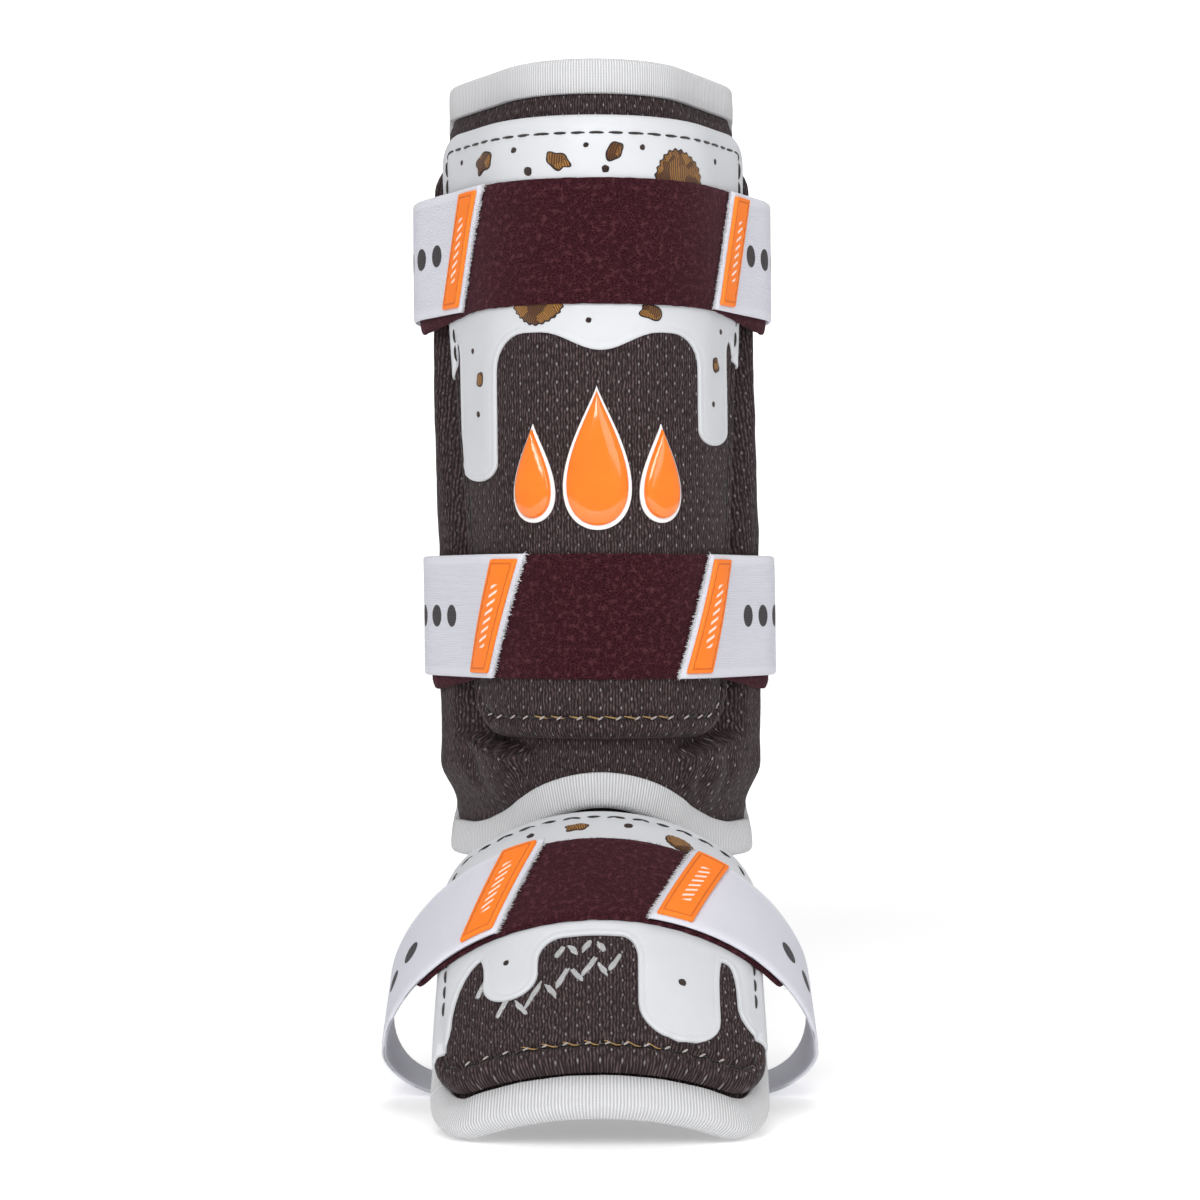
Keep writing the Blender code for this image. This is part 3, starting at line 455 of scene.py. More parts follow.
def over(face, lift):
    """A stated lift over a plate's face."""
    return lambda places: face(places[:, 0], places[:, 1]) + lift


def flat(height):
    return lambda places: np.full(len(places), height)


def domed(ground, rise, reach):
    """From the ground at an edge up by rise, within reach of it."""
    return lambda places, inset: ground(places) + rise * np.sqrt(np.clip(inset / reach, 0, 1))


# Lines on the flat layouts

def mirrored(places):
    """The same places on the other side, in the other order."""
    return [(-x, y) for x, y in reversed(places)]


def round_corner(side, level, radius, turns, way=-1):
    """A quarter round from an upright side's end to a level edge: under it with way -1, over it with 1."""
    return [(side - radius * (1 - cos(t)), level + way * radius * (1 - sin(t))) for t in turns]


# Shader maths

class Wire:
    """A shader value that Python arithmetic works on."""

    def __init__(self, recipe, socket):
        self.recipe = recipe
        self.socket = socket

    def __add__(self, other):
        return self.recipe.maths("ADD", self, other)

    def __sub__(self, other):
        return self.recipe.maths("SUBTRACT", self, other)

    def __rsub__(self, other):
        return self.recipe.maths("SUBTRACT", other, self)

    def __mul__(self, other):
        return self.recipe.maths("MULTIPLY", self, other)

    def __truediv__(self, other):
        return self.recipe.maths("DIVIDE", self, other)

    def __rtruediv__(self, other):
        return self.recipe.maths("DIVIDE", other, self)

    def __pow__(self, other):
        return self.recipe.maths("POWER", self, other)

    def __abs__(self):
        return self.recipe.maths("ABSOLUTE", self)

    __radd__ = __add__
    __rmul__ = __mul__

    def sine(self):
        return self.recipe.maths("SINE", self)

    def part(self):
        """What is left after the whole number."""
        return self.recipe.maths("FRACT", self)

    def whole(self):
        return self.recipe.maths("FLOOR", self)

    def least(self, other):
        return self.recipe.maths("MINIMUM", self, other)

    def most(self, other):
        return self.recipe.maths("MAXIMUM", self, other)

    def between(self, start, end):
        """0 at start, 1 at end and smooth between."""
        values = {"Value": self, "From Min": start, "From Max": end}
        return self.recipe.node("ShaderNodeMapRange", {"interpolation_type": "SMOOTHSTEP"}, values)

    def within(self, full, none):
        """1 up to full, 0 from none on and smooth between."""
        return 1.0 - self.between(full, none)

    def wave(self, period, shift=None):
        """Even waves between 0 and 1, a period long."""
        turn = self * (2 * pi / period)
        turn = turn if shift is None else turn + shift
        return turn.sine() * 0.5 + 0.5


class Recipe:
    """A material made of nodes, whose pattern lies on the flat layout of its piece, in metres."""

    def __init__(self, name, **constants):
        self.material = bpy.data.materials.new(name)
        self.material.use_nodes = True
        self.tree = self.material.node_tree
        self.shader = self.tree.nodes["Principled BSDF"]
        for key, value in constants.items():
            self.shader.inputs[key.replace("_", " ")].default_value = value

    def node(self, kind, settings=None, values=None, out=0):
        made = self.tree.nodes.new(kind)
        for key, value in (settings or {}).items():
            setattr(made, key, value)
        for key, value in (values or {}).items():
            self.feed(made.inputs[key], value)
        return Wire(self, made.outputs[out])

    def feed(self, entry, value):
        if isinstance(value, Wire):
            self.tree.links.new(value.socket, entry)
        elif entry.type == "RGBA":
            entry.default_value = (*value, 1.0)
        else:
            entry.default_value = value

    def maths(self, operation, *values):
        return self.node("ShaderNodeMath", {"operation": operation}, dict(enumerate(values)))

    def parts(self, vector):
        """The first two numbers of a vector."""
        return (self.node("ShaderNodeSeparateXYZ", None, {"Vector": vector}, out) for out in (0, 1))

    def layout(self):
        """The two coordinates of the flat layout, and their vector."""
        spot = self.node("ShaderNodeUVMap", {"uv_map": "layout"})
        return (*self.parts(spot), spot)

    def noise(self, spot, scale, detail=2.0, rough=0.5):
        values = {"Vector": spot, "Scale": scale, "Detail": detail, "Roughness": rough}
        return self.node("ShaderNodeTexNoise", None, values)

    def stretched(self, u, v, along, beside):
        """A vector of the layout, with each coordinate measured in its own length."""
        return self.node("ShaderNodeCombineXYZ", None, {"X": u / along, "Y": v / beside})

    def mix(self, share, one, other):
        return self.node("ShaderNodeMix", {"data_type": "RGBA"}, {0: share, 6: one, 7: other}, 2)

    def finish(self, colour, roughness=None, height=None, depth=0.0, strength=1.0):
        self.feed(self.shader.inputs["Base Color"], colour)
        if roughness is not None:
            self.feed(self.shader.inputs["Roughness"], roughness)
        if height is not None:
            values = {"Height": height, "Distance": depth, "Strength": strength}
            self.feed(self.shader.inputs["Normal"], self.node("ShaderNodeBump", None, values))
        return self.material


# Materials: their colours, and the sizes of their patterns on the flat layout

MESH_DARK = (0.012, 0.007, 0.007)
MESH_MIDDLE = (0.125, 0.085, 0.091)
MESH_LIGHT = (0.34, 0.30, 0.31)
DOT_PERIOD = 0.0083
DOT_ROW = 0.0036
KNIT_RIB = 0.00125
DOT_WIDTH = 0.00055
HOLLOW_WIDTH = 0.0017
TAPE_DARK = (0.40, 0.40, 0.41)
TAPE_LIGHT = (0.74, 0.74, 0.755)
TAPE_DIRT = (0.55, 0.54, 0.54)
TAPE_RIB = 0.00138
TAPE_CROSS = 0.0006
VINYL_DARK = (0.555, 0.565, 0.59)
VINYL_LIGHT = (0.61, 0.62, 0.64)
LOOP_DARK = (0.009, 0.0015, 0.003)
LOOP_LIGHT = (0.056, 0.012, 0.018)
LOOP_TIPS = (0.110, 0.036, 0.046)
# Painted shade colour for the hollows of the loop pile
LOOP_HOLLOW_SHADE = (0.020, 0.004, 0.007)
LOOP_SHEEN = (0.55, 0.30, 0.36, 1)
WEBBING_DARK = (0.55, 0.55, 0.615)
WEBBING_LIGHT = (0.69, 0.69, 0.755)
WEBBING_EDGE = (0.72, 0.72, 0.765)
WEBBING_WEFT = 0.00095
WEBBING_WARP = 0.00070
PRINT_INK = (0.022, 0.016, 0.017)
PRINT_PITCH = 0.0150
PRINT_MIDDLE = 0.0062
RUBBER_ORANGE = (0.90, 0.190, 0.006)
RUBBER_PALE = (0.88, 0.215, 0.010)
# Painted shade colour for the tab's sunk border groove
RUBBER_GROOVE_SHADE = (0.50, 0.085, 0.006)
RUBBER_MARK = (0.90, 0.80, 0.72)
MARK_PITCH = 0.0036
GEL_ORANGE = (0.86, 0.165, 0.004)
GEL_PALE = (0.94, 0.215, 0.007)
THREAD_TWIST = 0.00045
LINING_DARK = (0.022, 0.017, 0.017)
LINING_LIGHT = (0.0374, 0.0289, 0.0289)
LINING_WEAVE = 0.0009
# Grains of the vinyl and patches of the embroidery, to a metre
VINYL_GRAINS = 1700.0
SATIN_PATCHES = 230.0


def mesh_fabric():
    """Knitted mesh: fine upright ribs, and rows of small light dots over shallow hollows."""
    r = Recipe("mesh_fabric", Specular_IOR_Level=0.16, Sheen_Weight=0.04, Sheen_Roughness=0.4)
    u, v, spot = r.layout()
    warp = r.noise(spot, 90.0) - 0.5
    curl = r.noise(r.stretched(u, v, 0.0024, 0.0040), 1.0) - 0.5
    row = v / DOT_ROW
    shift = (row.whole() * 0.5).part()
    beside = abs((u / DOT_PERIOD + shift + warp * 0.05).part() - 0.5) * DOT_PERIOD
    above = abs(row.part() - 0.5) * DOT_ROW
    dot = (beside / DOT_WIDTH + above / (2 * DOT_WIDTH)).within(0.45, 1.15)
    hollow = (beside / HOLLOW_WIDTH + above / HOLLOW_WIDTH).within(0.5, 1.15)
    rib = u.wave(KNIT_RIB, warp * 5.0 + curl * 9.0)
    # Painted highlight: light flecks along the threads stand for glints on them, painted into the colour as
    # well as the bump and roughness
    painted_glints = r.noise(r.stretched(u, v, 0.0008, 0.0024), 1.0).between(0.36, 0.70)
    thread = rib * (painted_glints * 0.85 + 0.15)
    patchy = r.noise(spot, 24.0).between(0.3, 0.7)
    base = r.mix(thread * 0.9 * (1.0 - hollow * 0.6), MESH_DARK, MESH_MIDDLE)
    # Painted light and shade on the dots: besides their own patchy tone, they are painted brighter to the
    # right, and painted shade makes them fade round the sides
    dot_patches_and_painted_light = patchy * 0.30 + u.between(-0.08, 0.07) * 0.34 + 0.20
    dot_patches_and_painted_light = dot_patches_and_painted_light * (1.0 - abs(u).between(0.070, 0.105) * 0.6)
    base = r.mix(dot * dot_patches_and_painted_light, base, MESH_LIGHT)
    height = thread * 0.35 + (1.0 - hollow) * 0.65 + dot * 0.35
    return r.finish(base, 0.78 - thread * 0.22, height, 0.0005, 0.8)


def ribbed_tape():
    r = Recipe("ribbed_tape", Specular_IOR_Level=0.3, Sheen_Weight=0.15)
    u, v, spot = r.layout()
    rib, cross = u.wave(TAPE_RIB), v.wave(TAPE_CROSS)
    colour = r.mix(rib * 0.85 + cross * 0.15, TAPE_DARK, TAPE_LIGHT)
    colour = r.mix(r.noise(spot, 60.0).between(0.35, 0.8) * 0.10, colour, TAPE_DIRT)
    return r.finish(colour, 0.78 - rib * 0.1, rib * 0.8 + cross * 0.2, 0.0003, 0.9)


def white_vinyl():
    r = Recipe("white_vinyl", Specular_IOR_Level=0.45, Coat_Weight=0.05, Coat_Roughness=0.3)
    u, v, spot = r.layout()
    values = {"Vector": spot, "Scale": VINYL_GRAINS}
    grain = r.node("ShaderNodeTexVoronoi", {"feature": "DISTANCE_TO_EDGE"}, values)
    soft = r.noise(spot, 45.0)
    height = grain.between(0.0, 0.2) * 0.5 + soft * 0.8
    return r.finish(r.mix(soft, VINYL_DARK, VINYL_LIGHT), 0.36 + soft * 0.12, height, 0.00008, 0.7)


def fuzzy_loop():
    """Brushed loop fabric: matted fibres with paler tips, and soft darker patches painted as shade in the
    pile's hollows.
    """
    r = Recipe("fuzzy_loop", Specular_IOR_Level=0.08, Sheen_Weight=0.16, Sheen_Roughness=0.5,
               Sheen_Tint=LOOP_SHEEN)
    u, v, spot = r.layout()
    fine = r.noise(spot, 1500.0, 3.0, 0.7)
    tuft = r.noise(spot, 420.0, 2.0, 0.6)
    colour = r.mix(fine.between(0.38, 0.62), LOOP_DARK, LOOP_LIGHT)
    colour = r.mix(tuft.between(0.48, 0.72) * 0.55, colour, LOOP_TIPS)
    # Painted shade: soft darker patches stand for shade in the hollows of the pile
    colour = r.mix(r.noise(spot, 60.0).between(0.4, 0.75) * 0.25, colour, LOOP_HOLLOW_SHADE)
    return r.finish(colour, 0.95, fine * 0.5 + tuft * 0.5, 0.0010, 0.9)


def elastic_webbing(name, print_start):
    """Woven elastic with finer edge bands, and round dark prints beside each end."""
    r = Recipe(name, Specular_IOR_Level=0.16, Sheen_Weight=0.04)
    u, v, spot = r.layout()
    weft = v.wave(WEBBING_WEFT)
    warp = u.wave(WEBBING_WARP, weft * 1.5)
    band = abs(v).between(STRAP_WIDTH / 2 - 0.0042, STRAP_WIDTH / 2 - 0.0032)
    weave = (weft * 0.6 + warp * 0.4) * (1.0 - band * 0.6)
    colour = r.mix(weave * 0.6 + r.noise(spot, 35.0) * 0.4, WEBBING_DARK, WEBBING_LIGHT)
    colour = r.mix(band * 0.35, colour, WEBBING_EDGE)
    place = abs(u) - print_start
    lane = (place / PRINT_PITCH).whole().most(0.0).least(2.0)
    far = ((place - lane * PRINT_PITCH - PRINT_MIDDLE) ** 2.0 + v * v) ** 0.5
    colour = r.mix(far.within(0.0044, 0.0048) * (0.92 + weave * 0.08), colour, PRINT_INK)
    return r.finish(colour, 0.72, weave, 0.00022, 0.8)


def orange_rubber():
    """Moulded tab: smooth rubber with a sunk border line, painted darker as shade in its groove, and a row of
    small white slanted marks.
    """
    r = Recipe("orange_rubber", Specular_IOR_Level=0.4, Subsurface_Weight=0.08, Subsurface_Scale=0.002)
    u, v, spot = r.layout()
    soft = r.noise(spot, 160.0)
    beside, above = TAB_WIDTH / 2 - abs(u), TAB_HEIGHT / 2 - abs(v)
    lane = ((v - u * 0.6) / MARK_PITCH).part()
    mark = abs(lane - 0.5).within(0.14, 0.22) * abs(u).within(0.0017, 0.0021)
    mark = mark * abs(v).within(0.0125, 0.0130)
    line = beside.within(0.0019, 0.0022) * beside.between(0.0012, 0.0015) * above.between(0.0019, 0.0022)
    end = above.within(0.0021, 0.0024) * above.between(0.0014, 0.0017) * beside.between(0.0013, 0.0017)
    colour = r.mix(soft * 0.25, RUBBER_ORANGE, RUBBER_PALE)
    # Painted shade: the sunk border line and its ends are painted darker, as shade in the groove
    colour = r.mix(line.most(end) * 0.7, colour, RUBBER_GROOVE_SHADE)
    colour = r.mix(mark * 0.85, colour, RUBBER_MARK)
    return r.finish(colour, 0.42 + soft * 0.12, soft + mark * 0.6, 0.00012, 0.5)


def glossy_gel():
    r = Recipe("glossy_gel", Roughness=0.13, Coat_Weight=0.7, Coat_Roughness=0.05, Subsurface_Weight=0.15,
               Subsurface_Scale=0.003)
    u, v, spot = r.layout()
    soft = r.noise(spot, 70.0)
    return r.finish(r.mix(soft, GEL_ORANGE, GEL_PALE), None, soft, 0.0002, 0.25)


def thread(name, dark, light):
    """Twisted sewing thread."""
    r = Recipe(name, Specular_IOR_Level=0.35, Sheen_Weight=0.2)
    u, v, spot = r.layout()
    ply = u.wave(THREAD_TWIST, v * 3.0)
    return r.finish(r.mix(ply, dark, light), 0.6, ply, 0.0001, 0.8)


def satin_stitch(name, dark, middle, light, pitch):
    """Embroidery: close slanted threads that change shade in patches."""
    r = Recipe(name, Specular_IOR_Level=0.3, Sheen_Weight=0.08)
    u, v, spot = r.layout()
    patch = r.node("ShaderNodeTexVoronoi", None, {"Vector": spot, "Scale": SATIN_PATCHES}, 1)
    shade = r.node("ShaderNodeSeparateXYZ", None, {"Vector": patch})
    ply = (u + v * (shade * 2.2 - 1.1)).wave(pitch)
    colour = r.mix(shade.between(0.25, 0.75), middle, light)
    return r.finish(r.mix(0.9 - ply * 0.85, colour, dark), 0.5, ply, 0.0004, 1.0)


def plain_lining():
    r = Recipe("dark_lining", Specular_IOR_Level=0.2)
    u, v, spot = r.layout()
    pace = 2 * pi / LINING_WEAVE
    weave = (u * pace).sine() * (v * pace).sine() * 0.5 + 0.5
    colour = r.mix(weave * 0.7 + r.noise(spot, 50.0) * 0.3, LINING_DARK, LINING_LIGHT)
    return r.finish(colour, 0.9, weave, 0.0002, 0.6)


def pale_rubber():
    r = Recipe("pale_rubber", Roughness=0.35)
    u, v, spot = r.layout()
    return r.finish(r.mix(r.noise(spot, 90.0), (0.80, 0.78, 0.77), (0.90, 0.88, 0.87)))


MESH_CLOTH = mesh_fabric()
TAPE_CLOTH = ribbed_tape()
VINYL = white_vinyl()
LOOP_CLOTH = fuzzy_loop()
UPPER_WEBBING = elastic_webbing("upper_webbing", 0.0820)
LOWER_WEBBING = elastic_webbing("lower_webbing", 0.0760)
INSTEP_WEBBING = elastic_webbing("instep_webbing", 0.0760)
RUBBER = orange_rubber()
GEL = glossy_gel()
DARK_THREAD = thread("dark_thread", (0.004, 0.003, 0.003), (0.030, 0.022, 0.020))
TAN_THREAD = thread("tan_thread", (0.16, 0.085, 0.025), (0.52, 0.32, 0.11))
KNOT_THREAD = thread("knot_thread", (0.20, 0.17, 0.16), (0.55, 0.50, 0.48))
PALE_THREAD = thread("pale_thread", (0.50, 0.50, 0.52), (0.84, 0.84, 0.86))
CRUMB_THREAD = satin_stitch(
    "crumb_thread", (0.016, 0.005, 0.003), (0.15, 0.052, 0.010), (0.50, 0.23, 0.045), 0.0010)
DOT_THREAD = satin_stitch(
    "dot_thread", (0.010, 0.005, 0.004), (0.035, 0.014, 0.011), (0.075, 0.030, 0.020), 0.0005)
WHITE_SATIN = satin_stitch(
    "white_satin", (0.42, 0.42, 0.43), (0.72, 0.72, 0.73), (0.82, 0.82, 0.83), 0.0006)
DARK_LINING = plain_lining()
PALE_RUBBER = pale_rubber()


# Making pieces

def add_piece(name, points, faces, layout, finish, smooth=True):
    """A mesh piece from points, faces and each point's place on the flat layout."""
    mesh = bpy.data.meshes.new(name)
    mesh.from_pydata([tuple(p) for p in np.asarray(points).tolist()], [], faces)
    marks = mesh.uv_layers.new(name="layout")
    order = np.zeros(len(mesh.loops), np.int64)
    mesh.loops.foreach_get("vertex_index", order)
    marks.data.foreach_set("uv", np.asarray(layout, float)[order].ravel())
    form = bmesh.new()
    form.from_mesh(mesh)
    bmesh.ops.remove_doubles(form, verts=form.verts, dist=1e-6)
    bmesh.ops.recalc_face_normals(form, faces=form.faces)
    form.to_mesh(mesh)
    form.free()
    mesh.materials.append(finish)
    mesh.polygons.foreach_set("use_smooth", [smooth] * len(mesh.polygons))
    mesh.update()
    piece = bpy.data.objects.new(name, mesh)
    bpy.context.scene.collection.objects.link(piece)
    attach(piece, ROOT)
    return piece


def stand_for(piece, slot, *nodes):
    if nodes:
        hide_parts(*nodes)
    return piece


def quads(rows, columns, start=0):
    """Faces of a grid of points kept row by row."""
    cells = np.arange(rows * columns).reshape(rows, columns) + start
    corners = (cells[:-1, :-1], cells[1:, :-1], cells[1:, 1:], cells[:-1, 1:])
    return np.stack([c.ravel() for c in corners], -1).tolist()


def slab(name, surface, a, b, top, bottom, finish, lengths=None):
    """A closed sheet over a grid of places, with its faces at heights top and bottom."""
    rows, columns = a.shape
    upper = surface(a, b, top).reshape(-1, 3)
    lower = surface(a, b, bottom).reshape(-1, 3)
    count = rows * columns
    faces = quads(rows, columns) + quads(rows, columns, count)
    cells = np.arange(count).reshape(rows, columns)
    rim = np.concatenate([cells[0, :], cells[1:, -1], cells[-1, -2::-1], cells[-2:0:-1, 0]]).tolist()
    for here, there in zip(rim, rim[1:] + rim[:1]):
        faces.append((here, there, there + count, here + count))
    u, v = (a, b) if lengths is None else lengths
    layout = np.stack([np.broadcast_to(u, a.shape).ravel(), np.broadcast_to(v, a.shape).ravel()], -1)
    return add_piece(name, np.concatenate([upper, lower]), faces, np.concatenate([layout, layout]), finish)


def sweep(name, rings, finish, across, along):
    """A closed tube through rings of points, whose layout runs along the rings."""
    rings = np.asarray(rings)
    rings = np.concatenate([rings, rings[:, :1]], 1)
    rows, columns = rings.shape[:2]
    layout = np.stack(np.broadcast_arrays(np.asarray(along)[:, None], np.asarray(across)[None, :]), -1)
    return add_piece(name, rings.reshape(-1, 3), quads(rows, columns), layout.reshape(-1, 2), finish)


def even(start, end, step):
    return np.linspace(start, end, max(2, int(round(abs(end - start) / step)) + 1))


def walk(points, step, closed=True):
    """Points spaced evenly along a line."""
    points = np.asarray(points, float)
    if closed:
        points = np.concatenate([points, points[:1]])
    pace = np.concatenate([[0], np.cumsum(np.hypot(*np.diff(points, axis=0).T))])
    count = max(4, int(round(pace[-1] / step)))
    marks = np.linspace(0, pace[-1], count + 1)
    marks = marks[:-1] if closed else marks
    return np.stack([np.interp(marks, pace, points[:, k]) for k in (0, 1)], -1)


def headings(line):
    """Direction of a closed line at each of its points."""
    ahead = np.roll(line, -1, 0) - np.roll(line, 1, 0)
    return ahead / np.hypot(*ahead.T)[:, None]


def far_from(line, points):
    """Distance of each point from a closed line."""
    best = np.full(len(points), np.inf)
    for start, way in zip(line, np.roll(line, -1, 0) - line):
        share = np.clip(((points - start) @ way) / max(way @ way, 1e-18), 0, 1)
        best = np.minimum(best, np.hypot(*(points - start - share[:, None] * way).T))
    return best


def inside(line, points):
    """Which points lie inside a closed line."""
    hit = np.zeros(len(points), bool)
    for (x0, y0), (x1, y1) in zip(line, np.roll(line, -1, 0)):
        if y0 == y1:
            continue
        crosses = (y0 > points[:, 1]) != (y1 > points[:, 1])
        hit ^= crosses & (points[:, 0] < (x1 - x0) * (points[:, 1] - y0) / (y1 - y0) + x0)
    return hit


def patch(name, surface, line, base, face, finish, step, edge, to_layout=None, rings=(0.35, 0.9, 1.8)):
    """A thin layer with any outline: its face at face(places, inset), its rim down at base(places)."""
    line = walk(line, edge)
    low, high = line.min(0), line.max(0)
    steps = [even(low[k], high[k], step) for k in (0, 1)]
    inner = np.stack(np.meshgrid(*steps, indexing="ij"), -1)
    inner[::2, :, 1] += step / 2
    inner = inner.reshape(-1, 2)
    inner = inner[inside(line, inner)]
    inner = inner[far_from(line, inner) > edge * (rings[-1] + 0.8)] if len(inner) else inner
    after = np.roll(line, -1, 0)
    ahead = headings(line)
    turn = 1 if np.sum(line[:, 0] * after[:, 1] - line[:, 1] * after[:, 0]) > 0 else -1
    inward = np.stack([-ahead[:, 1], ahead[:, 0]], -1) * turn
    loops = []
    for reach in rings:
        ring = line + inward * edge * reach
        ring = ring[inside(line, ring)]
        loops.append(ring[far_from(line, ring) > edge * reach * 0.85])
    places = np.concatenate([line, *loops, inner])
    outline = [list(range(len(line)))]
    found = delaunay_2d_cdt([Vector(p) for p in places.tolist()], [], outline, 1, 1e-7)
    places = np.array([tuple(p) for p in found[0]])
    faces = [list(f) for f in found[2]]
    top = surface(places[:, 0], places[:, 1], face(places, far_from(line, places)))
    edges = {}
    for f in faces:
        for here, there in zip(f, f[1:] + f[:1]):
            key = (min(here, there), max(here, there))
            edges[key] = None if key in edges else (here, there)
    rim = [pair for pair in edges.values() if pair]
    lowered = {k: n + len(places) for n, k in enumerate(sorted({k for pair in rim for k in pair}))}
    foot = places[list(lowered)]
    skirt = surface(foot[:, 0], foot[:, 1], base(foot))
    faces += [[there, here, lowered[here], lowered[there]] for here, there in rim]
    layout = np.concatenate([places, foot])
    if to_layout:
        layout = to_layout(layout)
    return add_piece(name, np.concatenate([top, skirt]), faces, layout, finish)


def join(name, pieces):
    """One piece made of several."""
    for other in bpy.context.selected_objects:
        other.select_set(False)
    for piece in pieces:
        piece.select_set(True)
    bpy.context.view_layer.objects.active = pieces[0]
    bpy.ops.object.join()
    pieces[0].name = name
    pieces[0].data.name = name
    return pieces[0]


# Kinds of stitch: length, gap to the next and half width
SHIN_DASH = (0.0070, 0.0008, 0.00058)
INSTEP_DASH = (0.0078, 0.0014, 0.00058)
SUNK_STITCH = (0.0066, 0.0008, 0.00042)
KNOT = (0.0021, 0.0056, 0.00046)
GOLDEN_STRAND = (0.0058, 0.0019, 0.00034)
# A stitch is drawn in steps of this pace, with this many sides round its thread
STITCH_PACE = 0.0004
STITCH_SIDES = 6


def sew(name, surface, line, height, finish, stitch, seed, slant=0.0):
    """Stitches along a line of places: small raised strokes of thread."""
    length, gap, width = stitch
    line = walk(line, STITCH_PACE, closed=False)
    total = STITCH_PACE * (len(line) - 1)
    marks = np.linspace(0, total, len(line))
    random = np.random.default_rng(seed)
    points, faces, layout = [], [], []
    start = 0.0
    shares = np.linspace(0, 1, 7)
    sides = STITCH_SIDES
    turns = np.linspace(0, 2 * pi, sides, endpoint=False)
    while start + length < total:
        reach = length * random.uniform(0.9, 1.1)
        spots = start + reach * shares
        a, b = np.interp(spots, marks, line[:, 0]), np.interp(spots, marks, line[:, 1])
        way = np.array([a[-1] - a[0], b[-1] - b[0]])
        way = way / max(hypot(*way), 1e-9)
        lean = (shares - 0.5) * slant + random.uniform(-0.1, 0.1) * width
        a, b = a - way[1] * lean, b + way[0] * lean
        rise = height(np.stack([a, b], -1)) + width * (np.sin(pi * shares) ** 0.4 - 0.15)
        middle = surface(a, b, rise)
        outward = surface(a, b, rise + 0.0002) - middle
        outward = outward / np.linalg.norm(outward, axis=-1, keepdims=True)
        ahead = np.gradient(middle, axis=0)
        ahead = ahead / np.linalg.norm(ahead, axis=-1, keepdims=True)
        beside = np.cross(ahead, outward)
        thick = width * np.maximum(0.18, np.sin(pi * np.clip(shares, 0.05, 0.95)) ** 0.35)
        first = len(points)
        last = first + sides * (len(shares) - 1)
        for k in range(len(shares)):
            for turn in turns:
                points.append(middle[k] + thick[k] * (beside[k] * cos(turn) + outward[k] * sin(turn) * 0.8))
                layout.append((spots[k], turn * width))
        for row in range(first, last, sides):
            for n in range(sides):
                m = (n + 1) % sides
                faces.append((row + n, row + m, row + sides + m, row + sides + n))
        faces += [[end + n for n in range(sides)] for end in (first, last)]
        start += reach + gap * random.uniform(0.85, 1.15)
    add_piece(name, points, faces, layout, finish)


def fibres(name, surface, places, base, length, width, finish, seed, upright, way=None):
    """Short fine fibres that stand out at places, each a narrow blade."""
    random = np.random.default_rng(seed)
    count = len(places)
    turn = random.uniform(0, 2 * pi, count) if way is None else way + random.normal(0, 0.5, count)
    reach = length * random.uniform(0.5, 1.2, count)
    rise = length * upright * random.uniform(0.3, 1.1, count)
    step = np.stack([np.cos(turn), np.sin(turn)], -1)
    side = np.stack([-step[:, 1], step[:, 0]], -1) * width / 2
    ground = base(places)
    points, layout = [], []
    for share, broad in ((0.0, 1.0), (0.55, 0.8), (1.0, 0.1)):
        spot = places + step * (reach * share)[:, None]
        for sign in (1, -1):
            at = spot + side * broad * sign
            points.append(surface(at[:, 0], at[:, 1], ground + rise * share ** 1.5))
            layout.append(at)
    ids = np.arange(count)
    faces = []
    for k in (0, 2):
        faces += np.stack([ids + (k + n) * count for n in (0, 1, 3, 2)], -1).tolist()
    return add_piece(name, np.concatenate(points), faces, np.concatenate(layout), finish, smooth=False)


# Shin pad and plate, and the tape round both pads

def between_edges(columns, shares, low, high):
    """A grid of places on columns, at shares of the way from a low to a high edge."""
    a = np.repeat(columns[:, None], len(shares), 1)
    return a, low(a) + (high(a) - low(a)) * shares[None, :]


def columns_to(half, margin, step):
    """Even places across, with one more at each end."""
    return np.concatenate([[-half], even(-half + margin, half - margin, step), [half]])


def make_shin_pad():
    columns, shares = even(-PAD_HALF, PAD_HALF, 0.0021), even(0, 1, 0.0078)
    a, b = between_edges(columns, shares, pad_low, pad_high)
    top = SHIN_INSIDE + shin_pad_wall(a, b)
    pad = slab("shin_pad_cover", on_flared_shin, a, b, top, np.full_like(a, SHIN_INSIDE), MESH_CLOTH)
    pad.data.materials.append(DARK_LINING)
    for face in pad.data.polygons:
        if all(v >= a.size for v in face.vertices):
            face.material_index = 1
    stand_for(pad, "mesh_brown", "shin_pad")


TAPE_PACE = 0.0022


def tape_ring(base, wall):
    """Section of the tape round an edge: distance past the edge and height out."""
    low, high = base - SEAM_GAP, base + wall + SEAM_GAP
    middle, half = (low + high) / 2, (high - low) / 2 + TAPE_WALL
    lip = TAPE_WALL * 0.35
    outer = [
        (-TAPE_WIDTH, high), (-TAPE_WIDTH, high + TAPE_WALL - lip), (-TAPE_WIDTH + lip, high + TAPE_WALL),
        (-TAPE_WIDTH * 0.5, high + TAPE_WALL * 1.06), (-0.0020, high + TAPE_WALL),
    ]
    reach = SEAM_GAP + TAPE_WALL + 0.0010
    turns = np.linspace(pi / 2, -pi / 2, 13)[1:-1]
    nose = [(-0.0010 + reach * cos(t), middle + half * np.sign(sin(t)) * abs(sin(t)) ** 0.75) for t in turns]
    inner = [(past, 2 * middle - out) for past, out in reversed(outer)]
    return np.array(outer + nose + inner)


